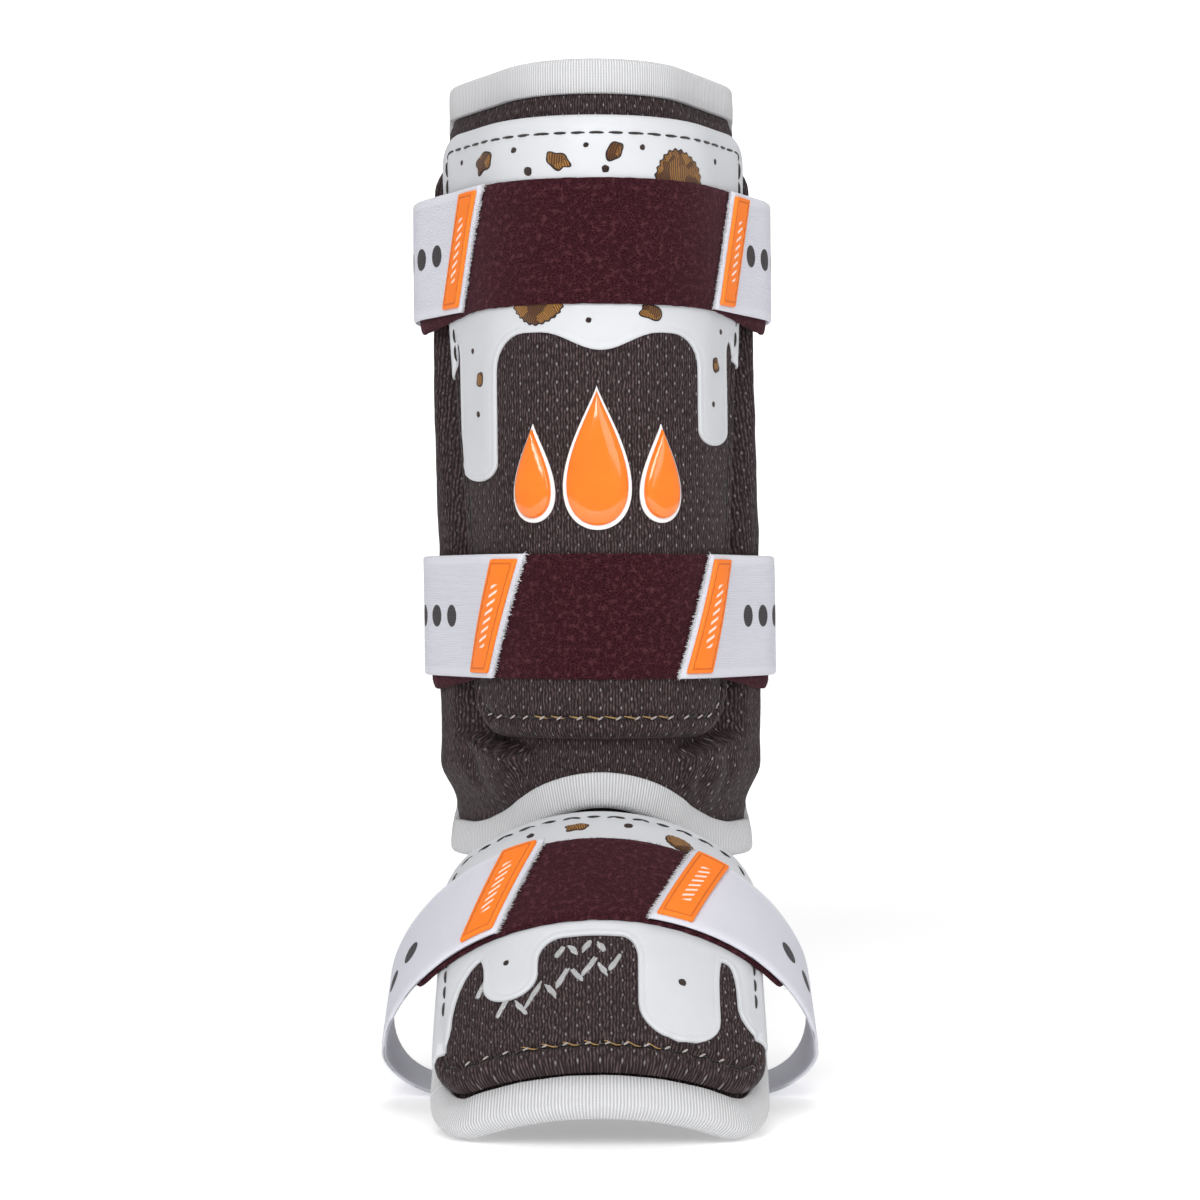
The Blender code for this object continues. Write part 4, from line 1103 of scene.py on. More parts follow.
def tape_round(part, surface, half, low, high, base):
    """The ribbed tape round a pad's whole edge."""
    columns = columns_to(half, 0.0001, 0.0008)
    sides = even(0, 1, 0.006)[1:-1]
    right, left = (
        np.stack([np.full_like(sides, end), low(end) + (high(end) - low(end)) * shares], -1)
        for end, shares in ((columns[-1], sides), (columns[0], sides[::-1])))
    bottom, top = (np.stack([columns, edge(columns)], -1) for edge in (low, high))
    rim = walk(np.concatenate([bottom, right, top[::-1], left]), TAPE_PACE)
    ahead = headings(rim)
    outward = np.stack([ahead[:, 1], -ahead[:, 0]], -1)
    section = tape_ring(base, FLANGE_WALL)
    pace = np.arange(len(rim) + 1) * TAPE_PACE
    places = rim[:, None, :] + outward[:, None, :] * section[None, :, 0, None]
    out = np.broadcast_to(section[None, :, 1], places.shape[:2])
    wobble = 0.00012 * np.sin(pace[:-1] / 0.0031)[:, None] * (section[None, :, 0] < -0.004)
    rings = surface(places[..., 0], places[..., 1], out + wobble)
    rings = np.concatenate([rings, rings[:1]])
    across = np.concatenate([[0], np.cumsum(np.hypot(*np.diff(section, axis=0).T))])
    tape = sweep(f"{part}_tape", rings, TAPE_CLOTH, np.append(across, across[-1] + 0.006), pace)
    stand_for(tape, "tape_grey", f"{part}_binding")


def plate_lines(span):
    """Shares of a plate's width or length for its lines of points, close together at rim and seam."""
    rim = np.array([0.0, 0.03, 0.1, 0.22, 0.4, 0.65]) * PLATE_ROUND
    seam = STITCH_INSET + np.array([-1.0, -0.6, -0.35, -0.15, 0.0, 0.15, 0.35, 0.6, 1.0]) * SEAM_SPREAD
    border = np.concatenate([rim, seam])
    middle = even(border[-1], span - border[-1], 0.0020)[1:-1]
    return np.concatenate([border, middle, (span - border)[::-1]]) / span


def plate_grid(half, length):
    """Shares across from -1 to 1, and shares along, of a plate's points."""
    return np.meshgrid(plate_lines(2 * half) * 2 - 1, plate_lines(length), indexing="ij")


def cover_plate(part, surface, face, a, b, wall):
    cover = slab(f"{part}_plate_cover", surface, a, b, face(a, b), np.full_like(a, -wall), MESH_CLOTH)
    stand_for(cover, "mesh_brown", f"{part}_plate")


def make_shin_plate():
    tall = PLATE_TOP - PLATE_BOTTOM
    s, t = plate_grid(PLATE_HALF_TOP, tall)
    half = plate_half(PLATE_BOTTOM + tall * t)
    a = half * s
    low = PLATE_BOTTOM + corner_drop(a, half, PLATE_CORNER)
    high = PLATE_TOP - corner_drop(a, half, PLATE_TOP_CORNER)
    cover_plate("shin", on_shin, shin_plate_face, a, low + (high - low) * t, PLATE_WALL)


# Vinyl with drips

# Rings of points inside the vinyl's edge, in steps of its spacing, close together at the pricked seam
SEAM_RINGS = (0.35, 0.9, 1.8, 2.6, 3.2, 3.9)


def drip_line(drips):
    """Places from left to right along an edge with drips, measured down from its level."""
    line = []
    for place, half, reach, left, right in drips:
        if left is None:
            for share in np.linspace(0, 1, 15):
                line.append((place + half * (2 * share - 1), reach * (1 - cos(2 * pi * share)) / 2))
            continue
        for turn in np.linspace(0, pi / 2, 8):
            line.append((place - half - left[0] * (1 - sin(turn)), left[1] * (1 - cos(turn))))
        for turn in np.linspace(0, pi, 15):
            line.append((place - half * cos(turn), reach - half * (1 - sin(turn))))
        for turn in np.linspace(pi / 2, 0, 8):
            line.append((place + half + right[0] * (1 - sin(turn)), right[1] * (1 - cos(turn))))
    return line


def vinyl_face(plate_face):
    """Height of the vinyl's face: over the plate's face, thin at its rim, with a pricked seam."""
    def face(places, inset):
        prick = 0.5 + 0.5 * np.sin(2 * pi * (places[:, 0] + places[:, 1]) / PRICK_PITCH)
        seam = PRICK_DEPTH * ridge(inset, PRICK_INSET, PRICK_WIDTH) * (0.4 + 0.6 * prick)
        lift = SEAM_GAP + VINYL_WALL * (0.3 + 0.7 * swell(inset, VINYL_ROUND)) - seam
        return plate_face(places[:, 0], places[:, 1]) + lift
    return face


def vinyl(part, surface, plate_face, edge, levels, half_at, top, corner):
    """The vinyl on a plate: its drips, then up the right side, over the top and down the left side."""
    edge = [(x, y) for x, y in edge if abs(x) < half_at(y) - VINYL_INSET]
    left_level, right_level = levels or (edge[0][1], edge[-1][1])
    high, radius = top - VINYL_INSET, corner - VINYL_INSET
    right, left = (
        [(half_at(y) - VINYL_INSET, y) for y in even(level, high - radius, 0.003)]
        for level in (right_level, left_level))
    turn = round_corner(float(half_at(top)) - VINYL_INSET, high, radius, np.linspace(0, pi / 2, 14)[1:])
    line = edge + right + turn + mirrored(left + turn)
    sheet = patch(
        f"{part}_vinyl", surface, line, over(plate_face, 0.0001), vinyl_face(plate_face), VINYL,
        step=0.0028, edge=0.0008, rings=SEAM_RINGS)
    stand_for(sheet, "vinyl_white", f"{part}_overlay")


def make_shin_vinyl():
    edge = [(along_at(x), DRIP_LEVEL - y) for x, y in drip_line(SHIN_DRIPS)]
    vinyl("shin", on_shin, shin_plate_face, edge, (DRIP_LEVEL, DRIP_LEVEL), plate_half, PLATE_TOP,
          PLATE_TOP_CORNER)


def make_instep_vinyl():
    edge = [(instep_across(x), -INSTEP_DRIP_LEVEL - y) for x, y in drip_line(INSTEP_DRIPS)]
    vinyl("instep", on_instep, instep_plate_face, edge, None, lambda y: INSTEP_PLATE_HALF,
          -INSTEP_PLATE_START, INSTEP_PLATE_CORNER)


# Instep pad, plate and hinge

def instep_pad_low(across):
    tongue = INSTEP_TONGUE * (across / INSTEP_PAD_HALF) ** 2
    return -(INSTEP_PAD_END - tongue - corner_drop(across, INSTEP_PAD_HALF, INSTEP_PAD_CORNER))


def instep_pad_high(across):
    return -(INSTEP_PAD_START + corner_drop(across, INSTEP_PAD_HALF, INSTEP_PAD_CORNER / 2))


def make_instep_pad():
    columns, shares = even(-INSTEP_PAD_HALF, INSTEP_PAD_HALF, 0.0025), even(0, 1, 0.014)
    a, b = between_edges(columns, shares, instep_pad_low, instep_pad_high)
    top = INSTEP_INSIDE + FLANGE_WALL + 0.00015 * ripples(a, b, 0.02, 21)
    pad = slab("instep_pad_cover", on_instep, a, b, top, np.full_like(a, INSTEP_INSIDE), MESH_CLOTH)
    stand_for(pad, "mesh_brown", "instep_pad")


def make_instep_plate():
    s, t = plate_grid(INSTEP_PLATE_HALF, INSTEP_PLATE_END - INSTEP_PLATE_START)
    a = INSTEP_PLATE_HALF * s
    drop = corner_drop(a, INSTEP_PLATE_HALF, INSTEP_PLATE_CORNER)
    low = -(instep_plate_front(a) - drop)
    high = -(INSTEP_PLATE_START + drop)
    cover_plate("instep", on_instep, instep_plate_face, a, low + (high - low) * t, INSTEP_PLATE_WALL)


def make_ankle_hinge():
    """Strip of elastic fabric sewn inside both pads, bent over the top edge of the instep pad."""
    shin_out = SHIN_INSIDE - SEAM_GAP - TAPE_WALL - GAP
    instep_out = INSTEP_INSIDE - SEAM_GAP - TAPE_WALL - GAP
    ankle = INSTEP_PAD_START - TAPE_WALL - 4 * HINGE_WALL
    across = even(-HINGE_HALF, HINGE_HALF, 0.002)
    narrowing = (FRONT_RADIUS + shin_out) / (INSTEP_RADIUS_TOP + instep_out)
    narrowing *= INSTEP_RADIUS_TOP / FRONT_RADIUS
    stops = [on_instep(across * narrowing, -along, instep_out)
             for along in (HINGE_DEPTH, HINGE_DEPTH * 0.35, ankle)]
    stops += [on_shin(across, pad_low(across) + rise, shin_out)
              for rise in (-TAPE_WALL - 3 * HINGE_WALL, TAPE_WIDTH / 2, HINGE_DEPTH)]
    shares = np.linspace(0, len(stops) - 1, 26)
    rows = np.stack([smooth_through(stops, s) for s in shares], 1)
    back = np.cross(np.gradient(rows, axis=1), np.gradient(rows, axis=0))
    back = back / np.linalg.norm(back, axis=-1, keepdims=True)
    a, b = np.meshgrid(across, shares * 0.012, indexing="ij")

    def surface(u, v, out):
        return rows + back * np.asarray(out)[..., None]

    strip = slab(
        "ankle_hinge_strip", surface, a, b, np.zeros_like(a), np.full_like(a, -HINGE_WALL), DARK_LINING)
    stand_for(strip, "lining_brown", "ankle_hinge")


def smooth_through(stops, share):
    """A point on a smooth line through the stops."""
    last = len(stops) - 1
    k = min(int(share), last - 1)
    f = share - k
    p0, p1, p2, p3 = (stops[max(0, min(last, k + n))] for n in (-1, 0, 1, 2))
    bent = (2 * p0 - 5 * p1 + 4 * p2 - p3) * f ** 2 + (3 * p1 - p0 - 3 * p2 + p3) * f ** 3
    return 0.5 * (2 * p1 + (p2 - p0) * f + bent)


# Loop panels and straps

LOOP_FIBRES = 15000
HOOKS = 420
# Shares of a strap's width for its lines of points, close together at its edges
TAPERS = (0.450, 0.478, 0.492, 0.500)


def panel(name, surface, middle, half, out, drop, node):
    """A loop panel: its cloth and the loose fibres on it."""
    columns = columns_to(half, 0.0004, 0.0022)
    shares = np.concatenate([[0, 0.012, 0.04], even(0.07, 0.93, 0.04), [0.96, 0.988, 1]])

    def dip(along):
        return drop * ease(np.abs(along), FRONT_RADIUS, half)

    a = np.repeat(columns[:, None], len(shares), 1)
    rounding = corner_drop(a, half, LOOP_CORNER)
    low = middle - STRAP_WIDTH / 2 - dip(a) + rounding
    high = middle + STRAP_WIDTH / 2 - rounding
    b = low + (high - low) * shares[None, :]
    b = b + 0.0003 * ripples(a, b, 0.006, 31) * (np.abs(shares[None, :] - 0.5) > 0.45)
    inset = np.minimum(np.minimum(b - low, high - b), half - np.abs(a))
    puff = LOOP_WALL * (0.55 + 0.45 * np.sqrt(np.clip(inset / 0.002, 0, 1)))
    top = out + puff + 0.00012 * ripples(a, b, 0.007, 33)
    cloth = slab(name, surface, a, b, top, np.full_like(a, out), LOOP_CLOTH)
    random = np.random.default_rng(len(name) + int(middle * 1000) + 7)
    across = random.uniform(-half * 0.985, half * 0.985, LOOP_FIBRES)
    rise = random.uniform(-0.5, 0.5, LOOP_FIBRES) * (STRAP_WIDTH - 0.0006 + dip(across))
    spots = np.stack([across, middle - dip(across) / 2 + rise], -1)
    fuzz = fibres(
        f"{name}_fuzz", surface, spots, flat(out + LOOP_WALL * 0.8), 0.0014, 0.00014, LOOP_CLOTH, 5, 0.30)
    stand_for(join(name, [cloth, fuzz]), "loop_burgundy", node)


def band(name, spot, whole, ends, out, finish, node, beneath=("shin_plate_cover", "shin_tape")):
    """Elastic strap from its right end round the back to its left end, both ends slanted."""
    first, last = ends[1], ends[0] + whole
    s = even(first, last, 0.0028)
    near = np.array(TAPERS[1:])
    r = np.concatenate([-near[::-1], np.linspace(-TAPERS[0], TAPERS[0], 17), near]) * STRAP_WIDTH
    a, b = np.meshgrid(s, r, indexing="ij")
    near_end = 1 - ease(np.minimum(a - first, last - a), 0.004, 0.055)
    a = a + b / STRAP_WIDTH * END_SLANT * near_end
    inset = STRAP_WIDTH / 2 - np.abs(b)
    edge = np.sqrt(np.clip(inset / 0.0009, 0, 1)) * 0.5 + 0.5
    dent = 0.00018 * ridge(inset, 0.0036, 0.0006)
    top = out + STRAP_WALL * edge - dent + 0.00008 * ripples(a, b, 0.02, 41)
    lengths = (np.minimum(a, whole - a), b)
    strap = slab(name, spot, a, b, top, out + STRAP_WALL * (1 - edge), finish, lengths)
    stand_for(strap, "elastic_white", node)
    last - first
    list(beneath)


def hook_edge(name, spot, end, side, out):
    """White frayed hooks along a strap's slanted end."""
    random = np.random.default_rng(int(abs(end) * 1e5))
    rise = random.uniform(-0.5, 0.5, HOOKS) * STRAP_WIDTH
    along = end + rise / STRAP_WIDTH * END_SLANT + side * random.uniform(-0.0002, 0.0008, HOOKS)
    ragged = fibres(
        name, spot, np.stack([along, rise], -1), lambda p: out + random.uniform(0.0002, 0.0016, len(p)),
        0.0015, 0.00030, PALE_THREAD, 9, -0.25, way=pi if side > 0 else 0.0)


def tab(name, spot, end, side, out, node):
    """Rubber tab beside a strap's end, with a sunk border."""
    low, high = sorted((end + side * TAB_INSET, end + side * (TAB_INSET + TAB_WIDTH)))
    half = TAB_HEIGHT / 2
    lean = END_SLANT / STRAP_WIDTH
    middle = (low + high) / 2
    corners = [(along + half * lean * way, half * way)
               for along, way in ((low, -1), (high, -1), (high, 1), (low, 1))]

    def face(places, inset):
        border = 0.0004 * ridge(inset, 0.0019, 0.00032)
        return out + TAB_WALL * (0.35 + 0.65 * swell(inset, 0.0007)) - border

    def to_layout(places):
        return np.stack([places[:, 0] - middle - places[:, 1] * lean, places[:, 1]], -1)

    piece = patch(name, spot, rounded(corners, 0.0009), flat(out), face, RUBBER, 0.0016, 0.00055, to_layout)
    stand_for(piece, "rubber_orange", node)


def rounded(corners, radius):
    """An outline with its corners rounded."""
    corners = [np.array(c, float) for c in corners]
    line = []
    for k, here in enumerate(corners):
        before, after = corners[k - 1], corners[(k + 1) % len(corners)]
        back, ahead = before - here, after - here
        start = here + back / hypot(*back) * radius
        end = here + ahead / hypot(*ahead) * radius
        for f in np.linspace(0, 1, 5):
            line.append(tuple((1 - f) ** 2 * start + 2 * f * (1 - f) * here + f ** 2 * end))
    return line


def fasten(level, spot, ends, out):
    """The tabs and the frayed hooks at a strap's two ends."""
    tab_out = out + STRAP_WALL + TAB_OUTSET
    for end, side, name in zip(ends, (-1, 1), ("left", "right")):
        tab(f"rubber_tab_{level}_{name}", spot, end, side, tab_out, f"tab_{level}_{name}")
        hook_edge(f"hooks_{level}_{name}", spot, end, side, out)


def shin_band(middle, whole):
    def spot(along, rise, out):
        along = np.where(along < whole / 2, along, along - whole)
        return on_shin(along, middle + np.asarray(rise), out)
    return spot


def make_shin_straps():
    whole = 2 * sum(run for run, radius in SHIN_LINE)
    rows = (
        ("upper", UPPER_PANEL_HEIGHT, UPPER_PANEL_HALF, UPPER_STRAP_ENDS, VINYL_OUT + GAP, UPPER_WEBBING),
        ("lower", LOWER_PANEL_HEIGHT, LOWER_PANEL_HALF, LOWER_STRAP_ENDS, GAP, LOWER_WEBBING),
    )
    for level, middle, half, ends, out, webbing in rows:
        panel(f"loop_cloth_{level}", on_shin, middle, half, out, PANEL_END_DROP, f"loop_panel_{level}")
        spot = shin_band(middle, whole)
        strap_out = out + LOOP_WALL + HOOK_GAP
        band(f"webbing_{level}", spot, whole, ends, strap_out, webbing, f"strap_{level}")
        fasten(level, spot, ends, strap_out)


def hoop_line(depth):
    """Line of the instep strap's loop: over the instep, down each side, and flat under the foot."""
    radius = INSTEP_RADIUS_TOP
    fall = depth - radius * (1 - cos(HOOP_TURN)) - HOOP_CORNER * (1 + cos(HOOP_TURN))
    side = fall / sin(HOOP_TURN)
    half = radius * sin(HOOP_TURN) + side * cos(HOOP_TURN) - HOOP_CORNER * sin(HOOP_TURN)
    return (
        (radius * HOOP_TURN, radius),
        (side, None),
        (HOOP_CORNER * (pi - HOOP_TURN), HOOP_CORNER),
        (half, None),
    )


def make_instep_strap():
    panel_out = VINYL_OUT + GAP
    out = panel_out + LOOP_WALL + HOOK_GAP
    top, forward, outward = instep_frame(HOOP_PLACE)
    line = hoop_line((top[2] + SEAT[2]) / outward[2] - STRAP_WALL - out)
    length = sum(run for run, radius in line)
    whole = 2 * length
    full_depth = float(bend(line, length, 0)[1])
    slant = HINGE_SLOPE + HOOP_PLACE / INSTEP_BEND

    def spot(along, back, height):
        along = np.where(along < whole / 2, along, along - whole)
        along, back, height = np.broadcast_arrays(along, back, height)
        across, drop = bend(line, along, height)
        share = ease(drop, INSTEP_RADIUS_TOP * 0.45, full_depth)
        slope = slant * (1 - share)
        ahead = np.stack([np.zeros_like(slope), -np.cos(slope), -np.sin(slope)], -1)
        aside = np.stack([across, HOOP_SET_BACK * share, np.zeros_like(across)], -1)
        free = top - outward * drop[..., None] + aside - ahead * back[..., None]
        held = instep_point(HOOP_PLACE - back, along, height)
        loose = ease(np.abs(along), INSTEP_PANEL_HALF * 1.12, INSTEP_PANEL_HALF * 1.5)[..., None]
        return held * (1 - loose) + free * loose + SEAT

    def on_panel(across, rise, height):
        return instep_point(HOOP_PLACE - np.asarray(rise), across, height) + SEAT

    panel("loop_cloth_instep", on_panel, 0.0, INSTEP_PANEL_HALF, panel_out, 0.0, "loop_panel_instep")
    band("webbing_instep", spot, whole, HOOP_ENDS, out, INSTEP_WEBBING, "strap_instep",
         ("instep_plate_cover", "instep_tape"))
    fasten("instep", spot, HOOP_ENDS, out)


# Motif, embroidery and stitches

def drop_line(place, half, tall, rise, grow):
    place = place + MOTIF_MIDDLE
    turns = np.linspace(0, 2 * pi, 90, endpoint=False)
    wide = np.sin(turns) * np.abs(np.sin(turns / 2)) ** 1.4 / 0.79
    return np.stack([place + (half + grow) * wide, MOTIF_HEIGHT + rise + (tall + grow) * np.cos(turns)], -1)


def make_motif():
    ground = GAP + MOTIF_BASE_WALL
    for side, place, half, tall, rise in MOTIF_DROPS:
        line = drop_line(place, half, tall, rise, MOTIF_OUTLINE)
        face = domed(flat(GAP + MOTIF_BASE_WALL / 2), MOTIF_BASE_WALL / 2, 0.0006)
        base = patch(f"drop_base_{side}", on_shin, line, flat(0.0), face, PALE_RUBBER, 0.0016, 0.0006)
        stand_for(base, "motif_white", f"motif_base_{side}")

        def dome(places, inset, reach=half * 0.62):
            return ground + MOTIF_GEL_WALL * swell(inset, reach, 2.6)

        line = drop_line(place, half, tall, rise, 0)
        gel = patch(f"drop_gel_{side}", on_shin, line, flat(ground - 0.0002), dome, GEL, 0.0014, 0.0005)
        stand_for(gel, "gel_orange", f"motif_gel_{side}")


def pebble(place, wide, tall, lean, seed, rough=0.10, scallops=0):
    """An uneven rounded outline, or a scalloped one."""
    random = np.random.default_rng(seed)
    turns = np.linspace(0, 2 * pi, 40 + 6 * scallops, endpoint=False)
    edge = 1 + sum(
        random.uniform(0.2, 1.0) * rough * np.cos(k * turns + random.uniform(0, 6)) for k in (2, 3, 4, 5))
    edge = edge + 0.035 * np.cos(scallops * turns) * (scallops > 0)
    x, y = wide * edge * np.cos(turns), tall * edge * np.sin(turns)
    return np.stack([place[0] + x * cos(lean) - y * sin(lean), place[1] + x * sin(lean) + y * cos(lean)], -1)


# Crumbs: place across and height from the front, half width and height, lean, and scallops if it is a
# round biscuit
SHIN_CRUMBS = (
    (-0.0440, 0.3765, 0.0054, 0.0036, 0.4, 0),
    (-0.0150, 0.3740, 0.0046, 0.0028, -0.5, 0),
    (0.0330, 0.3665, 0.0120, 0.0125, 0.3, 26),
    (0.0070, 0.3775, 0.0036, 0.0026, 0.9, 0),
    (-0.0230, 0.3185, 0.0105, 0.0085, 0.2, 24),
    (0.0210, 0.3140, 0.0046, 0.0026, -0.2, 0),
    (-0.0462, 0.2890, 0.0026, 0.0022, 0.4, 0),
    (0.0475, 0.2950, 0.0024, 0.0028, 0.2, 0),
)
SHIN_DOTS = (
    (-0.0530, 0.3790, 0.0011), (-0.0320, 0.3795, 0.0013), (-0.0040, 0.3800, 0.0011), (0.0035, 0.3705, 0.0016),
    (0.0180, 0.3795, 0.0012), (0.0480, 0.3780, 0.0012), (-0.0265, 0.3705, 0.0019), (-0.0490, 0.3010, 0.0012),
    (-0.0470, 0.2750, 0.0014), (0.0462, 0.2790, 0.0013), (-0.0035, 0.3105, 0.0012), (0.0500, 0.3090, 0.0012),
)
# The same on the instep: place across, distance from the hinge, half width and height, and lean
INSTEP_CRUMBS = ((-0.0090, 0.0125, 0.0040, 0.0022, 0.1, 0), (0.0310, 0.0160, 0.0058, 0.0040, -0.4, 16))
INSTEP_DOTS = (
    (-0.0270, 0.0120, 0.0016), (-0.0440, 0.0210, 0.0013), (0.0110, 0.0110, 0.0018), (0.0440, 0.0230, 0.0014),
    (0.0300, 0.1000, 0.0017), (-0.0345, 0.0880, 0.0013),
)
# White sewn strokes on the instep mesh, in two slanting rows: place across, distance from the hinge,
# half height and lean
INSTEP_STROKES = (
    (-0.0440, 0.0960, 0.0050, -0.50), (-0.0395, 0.1010, 0.0036, 0.60), (-0.0355, 0.1085, 0.0060, -0.45),
    (-0.0290, 0.1120, 0.0042, 0.55), (-0.0245, 0.1070, 0.0062, -0.50), (-0.0180, 0.1065, 0.0040, 0.50),
    (-0.0140, 0.1010, 0.0056, -0.45), (-0.0085, 0.1000, 0.0038, 0.55), (-0.0040, 0.0960, 0.0056, -0.50),
    (0.0010, 0.0975, 0.0034, 0.50), (0.0055, 0.0940, 0.0048, -0.45), (-0.0150, 0.0875, 0.0034, -0.50),
    (-0.0100, 0.0870, 0.0030, 0.55), (-0.0050, 0.0855, 0.0034, -0.50), (0.0005, 0.0860, 0.0030, 0.50),
)


def embroider(part, surface, plate_face, crumbs, dots, to_place):
    """Embroidered crumbs and dots that stand a little above the vinyl."""
    groups = {"crumbs": [], "crumb_rims": [], "dots": []}

    def add(group, line, lift, finish, edge):
        base, ground = over(plate_face, VINYL_OUT - 0.0003), over(plate_face, VINYL_OUT + lift * 0.3)
        face = domed(ground, lift * 0.7, 0.0010)
        groups[group].append(patch(f"{group}_patch", surface, line, base, face, finish, 0.0010, edge))

    for k, (x, y, wide, tall, lean, scallops) in enumerate(crumbs):
        shape = dict(lean=lean, seed=60 + k, rough=0.02 if scallops else 0.10, scallops=scallops)
        rim = pebble(to_place(x, y), wide + 0.0006, tall + 0.0006, **shape)
        add("crumb_rims", rim, 0.0003, DOT_THREAD, 0.0005)
        add("crumbs", pebble(to_place(x, y), wide, tall, **shape), 0.0007, CRUMB_THREAD, 0.0005)
    for k, (x, y, size) in enumerate(dots):
        line = pebble(to_place(x, y), size, size * 0.9, 0.3 * k, 90 + k, rough=0.05)
        add("dots", line, 0.0004, DOT_THREAD, 0.0004)
    for group, pieces in groups.items():
        join(f"{part}_{group}", pieces)


def make_embroidery():
    embroider("shin", on_shin, shin_plate_face, SHIN_CRUMBS, SHIN_DOTS, lambda x, y: (along_at(x), y))
    embroider(
        "instep", on_instep, instep_plate_face, INSTEP_CRUMBS, INSTEP_DOTS,
        lambda x, y: (instep_across(x), -y))
    strokes = []
    base = over(instep_plate_face, -0.0002)
    face = domed(over(instep_plate_face, 0.0003), 0.0005, 0.0008)
    for k, (x, y, tall, lean) in enumerate(INSTEP_STROKES):
        line = pebble((instep_across(x), -y), 0.0011, tall, lean, 130 + k)
        strokes.append(patch("stroke", on_instep, line, base, face, WHITE_SATIN, 0.0009, 0.0004))
    join("instep_strokes", strokes)


def plate_ring(inset):
    """Places at an inset from the shin plate's edge, up its right side and to the middle of its top."""
    top, radius = PLATE_TOP - inset, PLATE_TOP_CORNER - inset
    heights = even(PLATE_BOTTOM + PLATE_CORNER, top - radius, 0.003)
    turns = np.linspace(0, pi / 2, 12)[1:]
    side = [(float(plate_half(h)) - inset, h) for h in heights]
    return side + round_corner(PLATE_HALF_TOP - inset, top, radius, turns)


# The golden strands lie this far to each side of the middle
GOLDEN_HALF = 0.031


def lower_seam(part, surface, plate_face, line, low_run, seed):
    """A dark thread sunk in the groove, pale knots where it comes up, and golden strands along its middle."""
    bed, top = over(plate_face, 0.0002), over(plate_face, 0.0007)
    golden = [(x, y + 0.0003) for x, y in walk(low_run, 0.002, closed=False) if abs(x) < GOLDEN_HALF]
    sew(f"{part}_seam", surface, line, bed, DARK_THREAD, SUNK_STITCH, seed)
    sew(f"{part}_knots", surface, low_run, top, KNOT_THREAD, KNOT, seed + 1, 0.0014)
    sew(f"{part}_strands", surface, golden, top, TAN_THREAD, GOLDEN_STRAND,
        seed + 20, -0.0010)


def make_stitches():
    turns = np.linspace(0, pi / 2, 12)
    down = plate_ring(STITCH_INSET)[::-1]
    upper = [(x, y) for x, y in mirrored(down) + down if y > DRIP_LEVEL - 0.010]
    sew("shin_dashes", on_shin, upper, over(shin_plate_face, VINYL_OUT), DARK_THREAD,
        SHIN_DASH, 2)
    bottom = PLATE_BOTTOM + STITCH_INSET
    half, radius = PLATE_HALF_BOTTOM - STITCH_INSET, PLATE_CORNER - STITCH_INSET
    right = [(x, y) for x, y in down if y < DRIP_LEVEL - 0.014] + round_corner(half, bottom, radius, turns, 1)
    lower = right + mirrored(right)
    low_run = [(x, y) for x, y in lower if y < bottom + 0.020]
    lower_seam("shin", on_shin, shin_plate_face, lower, low_run, 3)

    half, radius = INSTEP_PLATE_HALF - STITCH_INSET, INSTEP_PLATE_CORNER - STITCH_INSET
    top = -INSTEP_PLATE_START - STITCH_INSET
    up = [(half, y) for y in even(-0.100, top - radius, 0.003)] + round_corner(half, top, radius, turns)
    sew("instep_dashes", on_instep, mirrored(up[::-1]) + up[::-1],
        over(instep_plate_face, VINYL_OUT), DARK_THREAD, INSTEP_DASH, 5)
    front = [(x, -(float(instep_plate_front(x)) - STITCH_INSET))
             for x in even(-half + radius, half - radius, 0.003)]
    right = round_corner(half, front[0][1], radius, turns[::-1], 1) + [(half, -0.112)]
    lower_seam("instep", on_instep, instep_plate_face, mirrored(right) + front + right, front, 6)


# Studio

# Where the paper's own light grows with the distance from the object
PAPER_DIM = 0.55
PAPER_BRIGHT = 1.7
STUDIO_FLOOR = 2.1
STUDIO_COVE = 1.0
STUDIO_HEIGHT = 7.0
STAGE_SEGMENTS = 96


def stage_piece(name, profile, finish):
    """A round stage surface turned from its profile of radius and height."""
    turns = np.linspace(0, 2 * pi, STAGE_SEGMENTS, endpoint=False)
    points = [(radius * cos(t), radius * sin(t), z) for radius, z in profile for t in turns]
    faces = []
    for row in range(0, (len(profile) - 1) * STAGE_SEGMENTS, STAGE_SEGMENTS):
        for n in range(STAGE_SEGMENTS):
            m = (n + 1) % STAGE_SEGMENTS
            faces.append((row + n, row + STAGE_SEGMENTS + n, row + STAGE_SEGMENTS + m, row + m))
    if profile[0][1] == profile[-1][1]:
        faces.append(tuple(range(STAGE_SEGMENTS)))
    mesh = bpy.data.meshes.new(name)
    mesh.from_pydata(points, [], faces)
    mesh.polygons.foreach_set("use_smooth", [True] * len(mesh.polygons))
    mesh.materials.append(finish)
    piece = bpy.data.objects.new(name, mesh)
    bpy.context.scene.collection.objects.link(piece)
    return piece


def white_paper():
    """Studio paper that glows with painted light of its own, weaker near the object and stronger away from
    it, so that it stays white far off.
    """
    paper = Recipe("studio_paper", Roughness=0.9, Specular_IOR_Level=0.1, Emission_Strength=1.0)
    spot = paper.node("ShaderNodeTexCoord", None, None, 3)
    x, y = paper.parts(spot)
    far = ((x * x + y * y) ** 0.5).between(PAPER_DIM, PAPER_BRIGHT)
    glow = paper.mix(far, (0.30, 0.30, 0.30), (0.66, 0.66, 0.66))
    paper.feed(paper.shader.inputs["Emission Color"], glow)
    return paper.finish(paper.mix(paper.noise(spot, 3.0), (0.93, 0.93, 0.935), (0.95, 0.95, 0.95)))


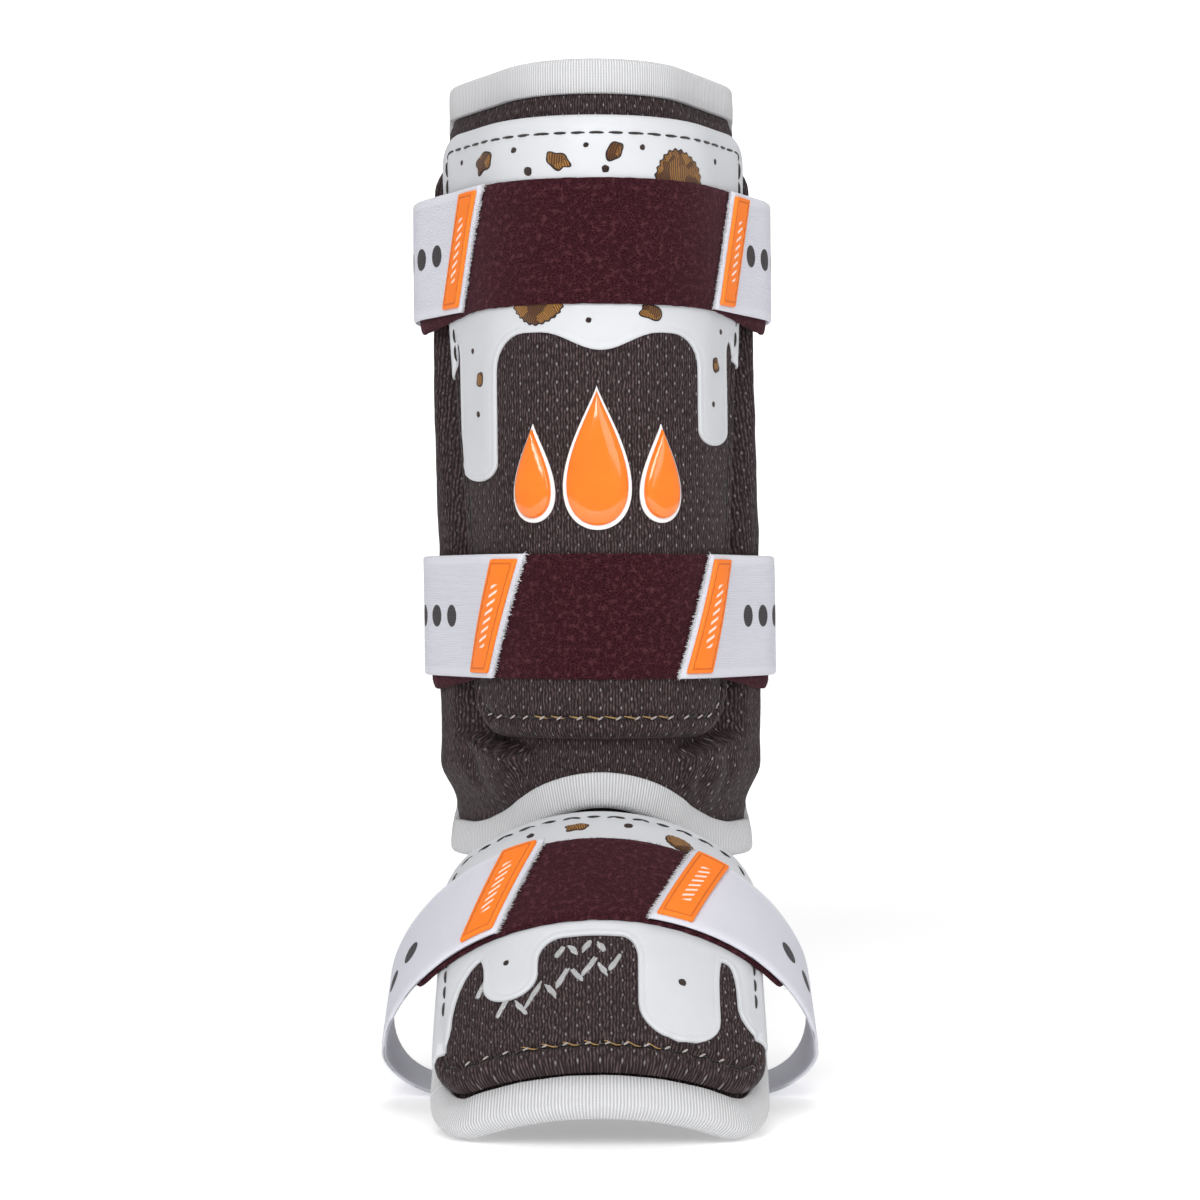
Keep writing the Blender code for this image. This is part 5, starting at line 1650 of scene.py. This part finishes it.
def make_studio():
    scene = bpy.context.scene
    paper = white_paper()
    stage_piece("studio_floor", [(0.5, 0.0), (STUDIO_FLOOR, 0.0)], paper)
    turns = np.linspace(0, pi / 2, 16)
    cove = [(STUDIO_FLOOR + STUDIO_COVE * sin(t), STUDIO_COVE * (1 - cos(t))) for t in turns]
    wall = stage_piece("studio_wall", cove + [(STUDIO_FLOOR + STUDIO_COVE, STUDIO_HEIGHT)], paper)
    wall.visible_diffuse = wall.visible_glossy = wall.visible_shadow = False
    world = bpy.data.worlds.new("studio_light")
    world.use_nodes = True
    world.node_tree.nodes["Background"].inputs["Color"].default_value = (1.0, 1.0, 1.0, 1)
    world.node_tree.nodes["Background"].inputs["Strength"].default_value = 0.46
    scene.world = world
    scene.view_settings.view_transform = "Standard"
    lamps = (
        ("key", (-0.30, -1.6, 1.05), 0.8, 16.5, (0.0, 0.0, 0.25)),
        ("fill", (0.85, -1.4, 0.9), 1.0, 6.0, (0.0, 0.0, 0.2)),
        ("top", (0.0, -0.1, 1.9), 1.2, 9.0, (0.0, 0.0, 0.2)),
    )
    for name, place, size, power, target in lamps:
        light = bpy.data.lights.new(name, "AREA")
        light.size = size
        light.energy = power
        lamp = bpy.data.objects.new(name, light)
        lamp.location = place
        lamp.rotation_euler = (Vector(target) - Vector(place)).to_track_quat("-Z", "Y").to_euler()
        scene.collection.objects.link(lamp)


# Camera: level with the middle of the photo, straight in front of the guard
CAMERA_HEIGHT = 0.1980
CAMERA_DISTANCE = 1.2125
PICTURE_SPAN = 1200
FOCAL_SPAN = 3024


def make_camera():
    view = bpy.data.cameras.new("camera")
    view.sensor_width = 36.0
    view.lens = 36.0 * FOCAL_SPAN / PICTURE_SPAN
    view.clip_start = 0.05
    camera = bpy.data.objects.new("camera", view)
    camera.location = (0.0, -CAMERA_DISTANCE, CAMERA_HEIGHT)
    camera.rotation_euler = (pi / 2, 0, 0)
    bpy.context.scene.collection.objects.link(camera)
    bpy.context.scene.camera = camera


def main():
    make_camera()
    make_shin_pad()
    tape_round("shin", on_flared_shin, PAD_HALF, pad_low, pad_high, SHIN_INSIDE)
    make_shin_plate()
    make_shin_vinyl()
    make_shin_straps()
    make_instep_pad()
    tape_round("instep", on_instep, INSTEP_PAD_HALF, instep_pad_low, instep_pad_high, INSTEP_INSIDE)
    make_instep_plate()
    make_instep_vinyl()
    make_instep_strap()
    make_ankle_hinge()
    make_motif()
    make_embroidery()
    make_stitches()
    make_studio()


main()
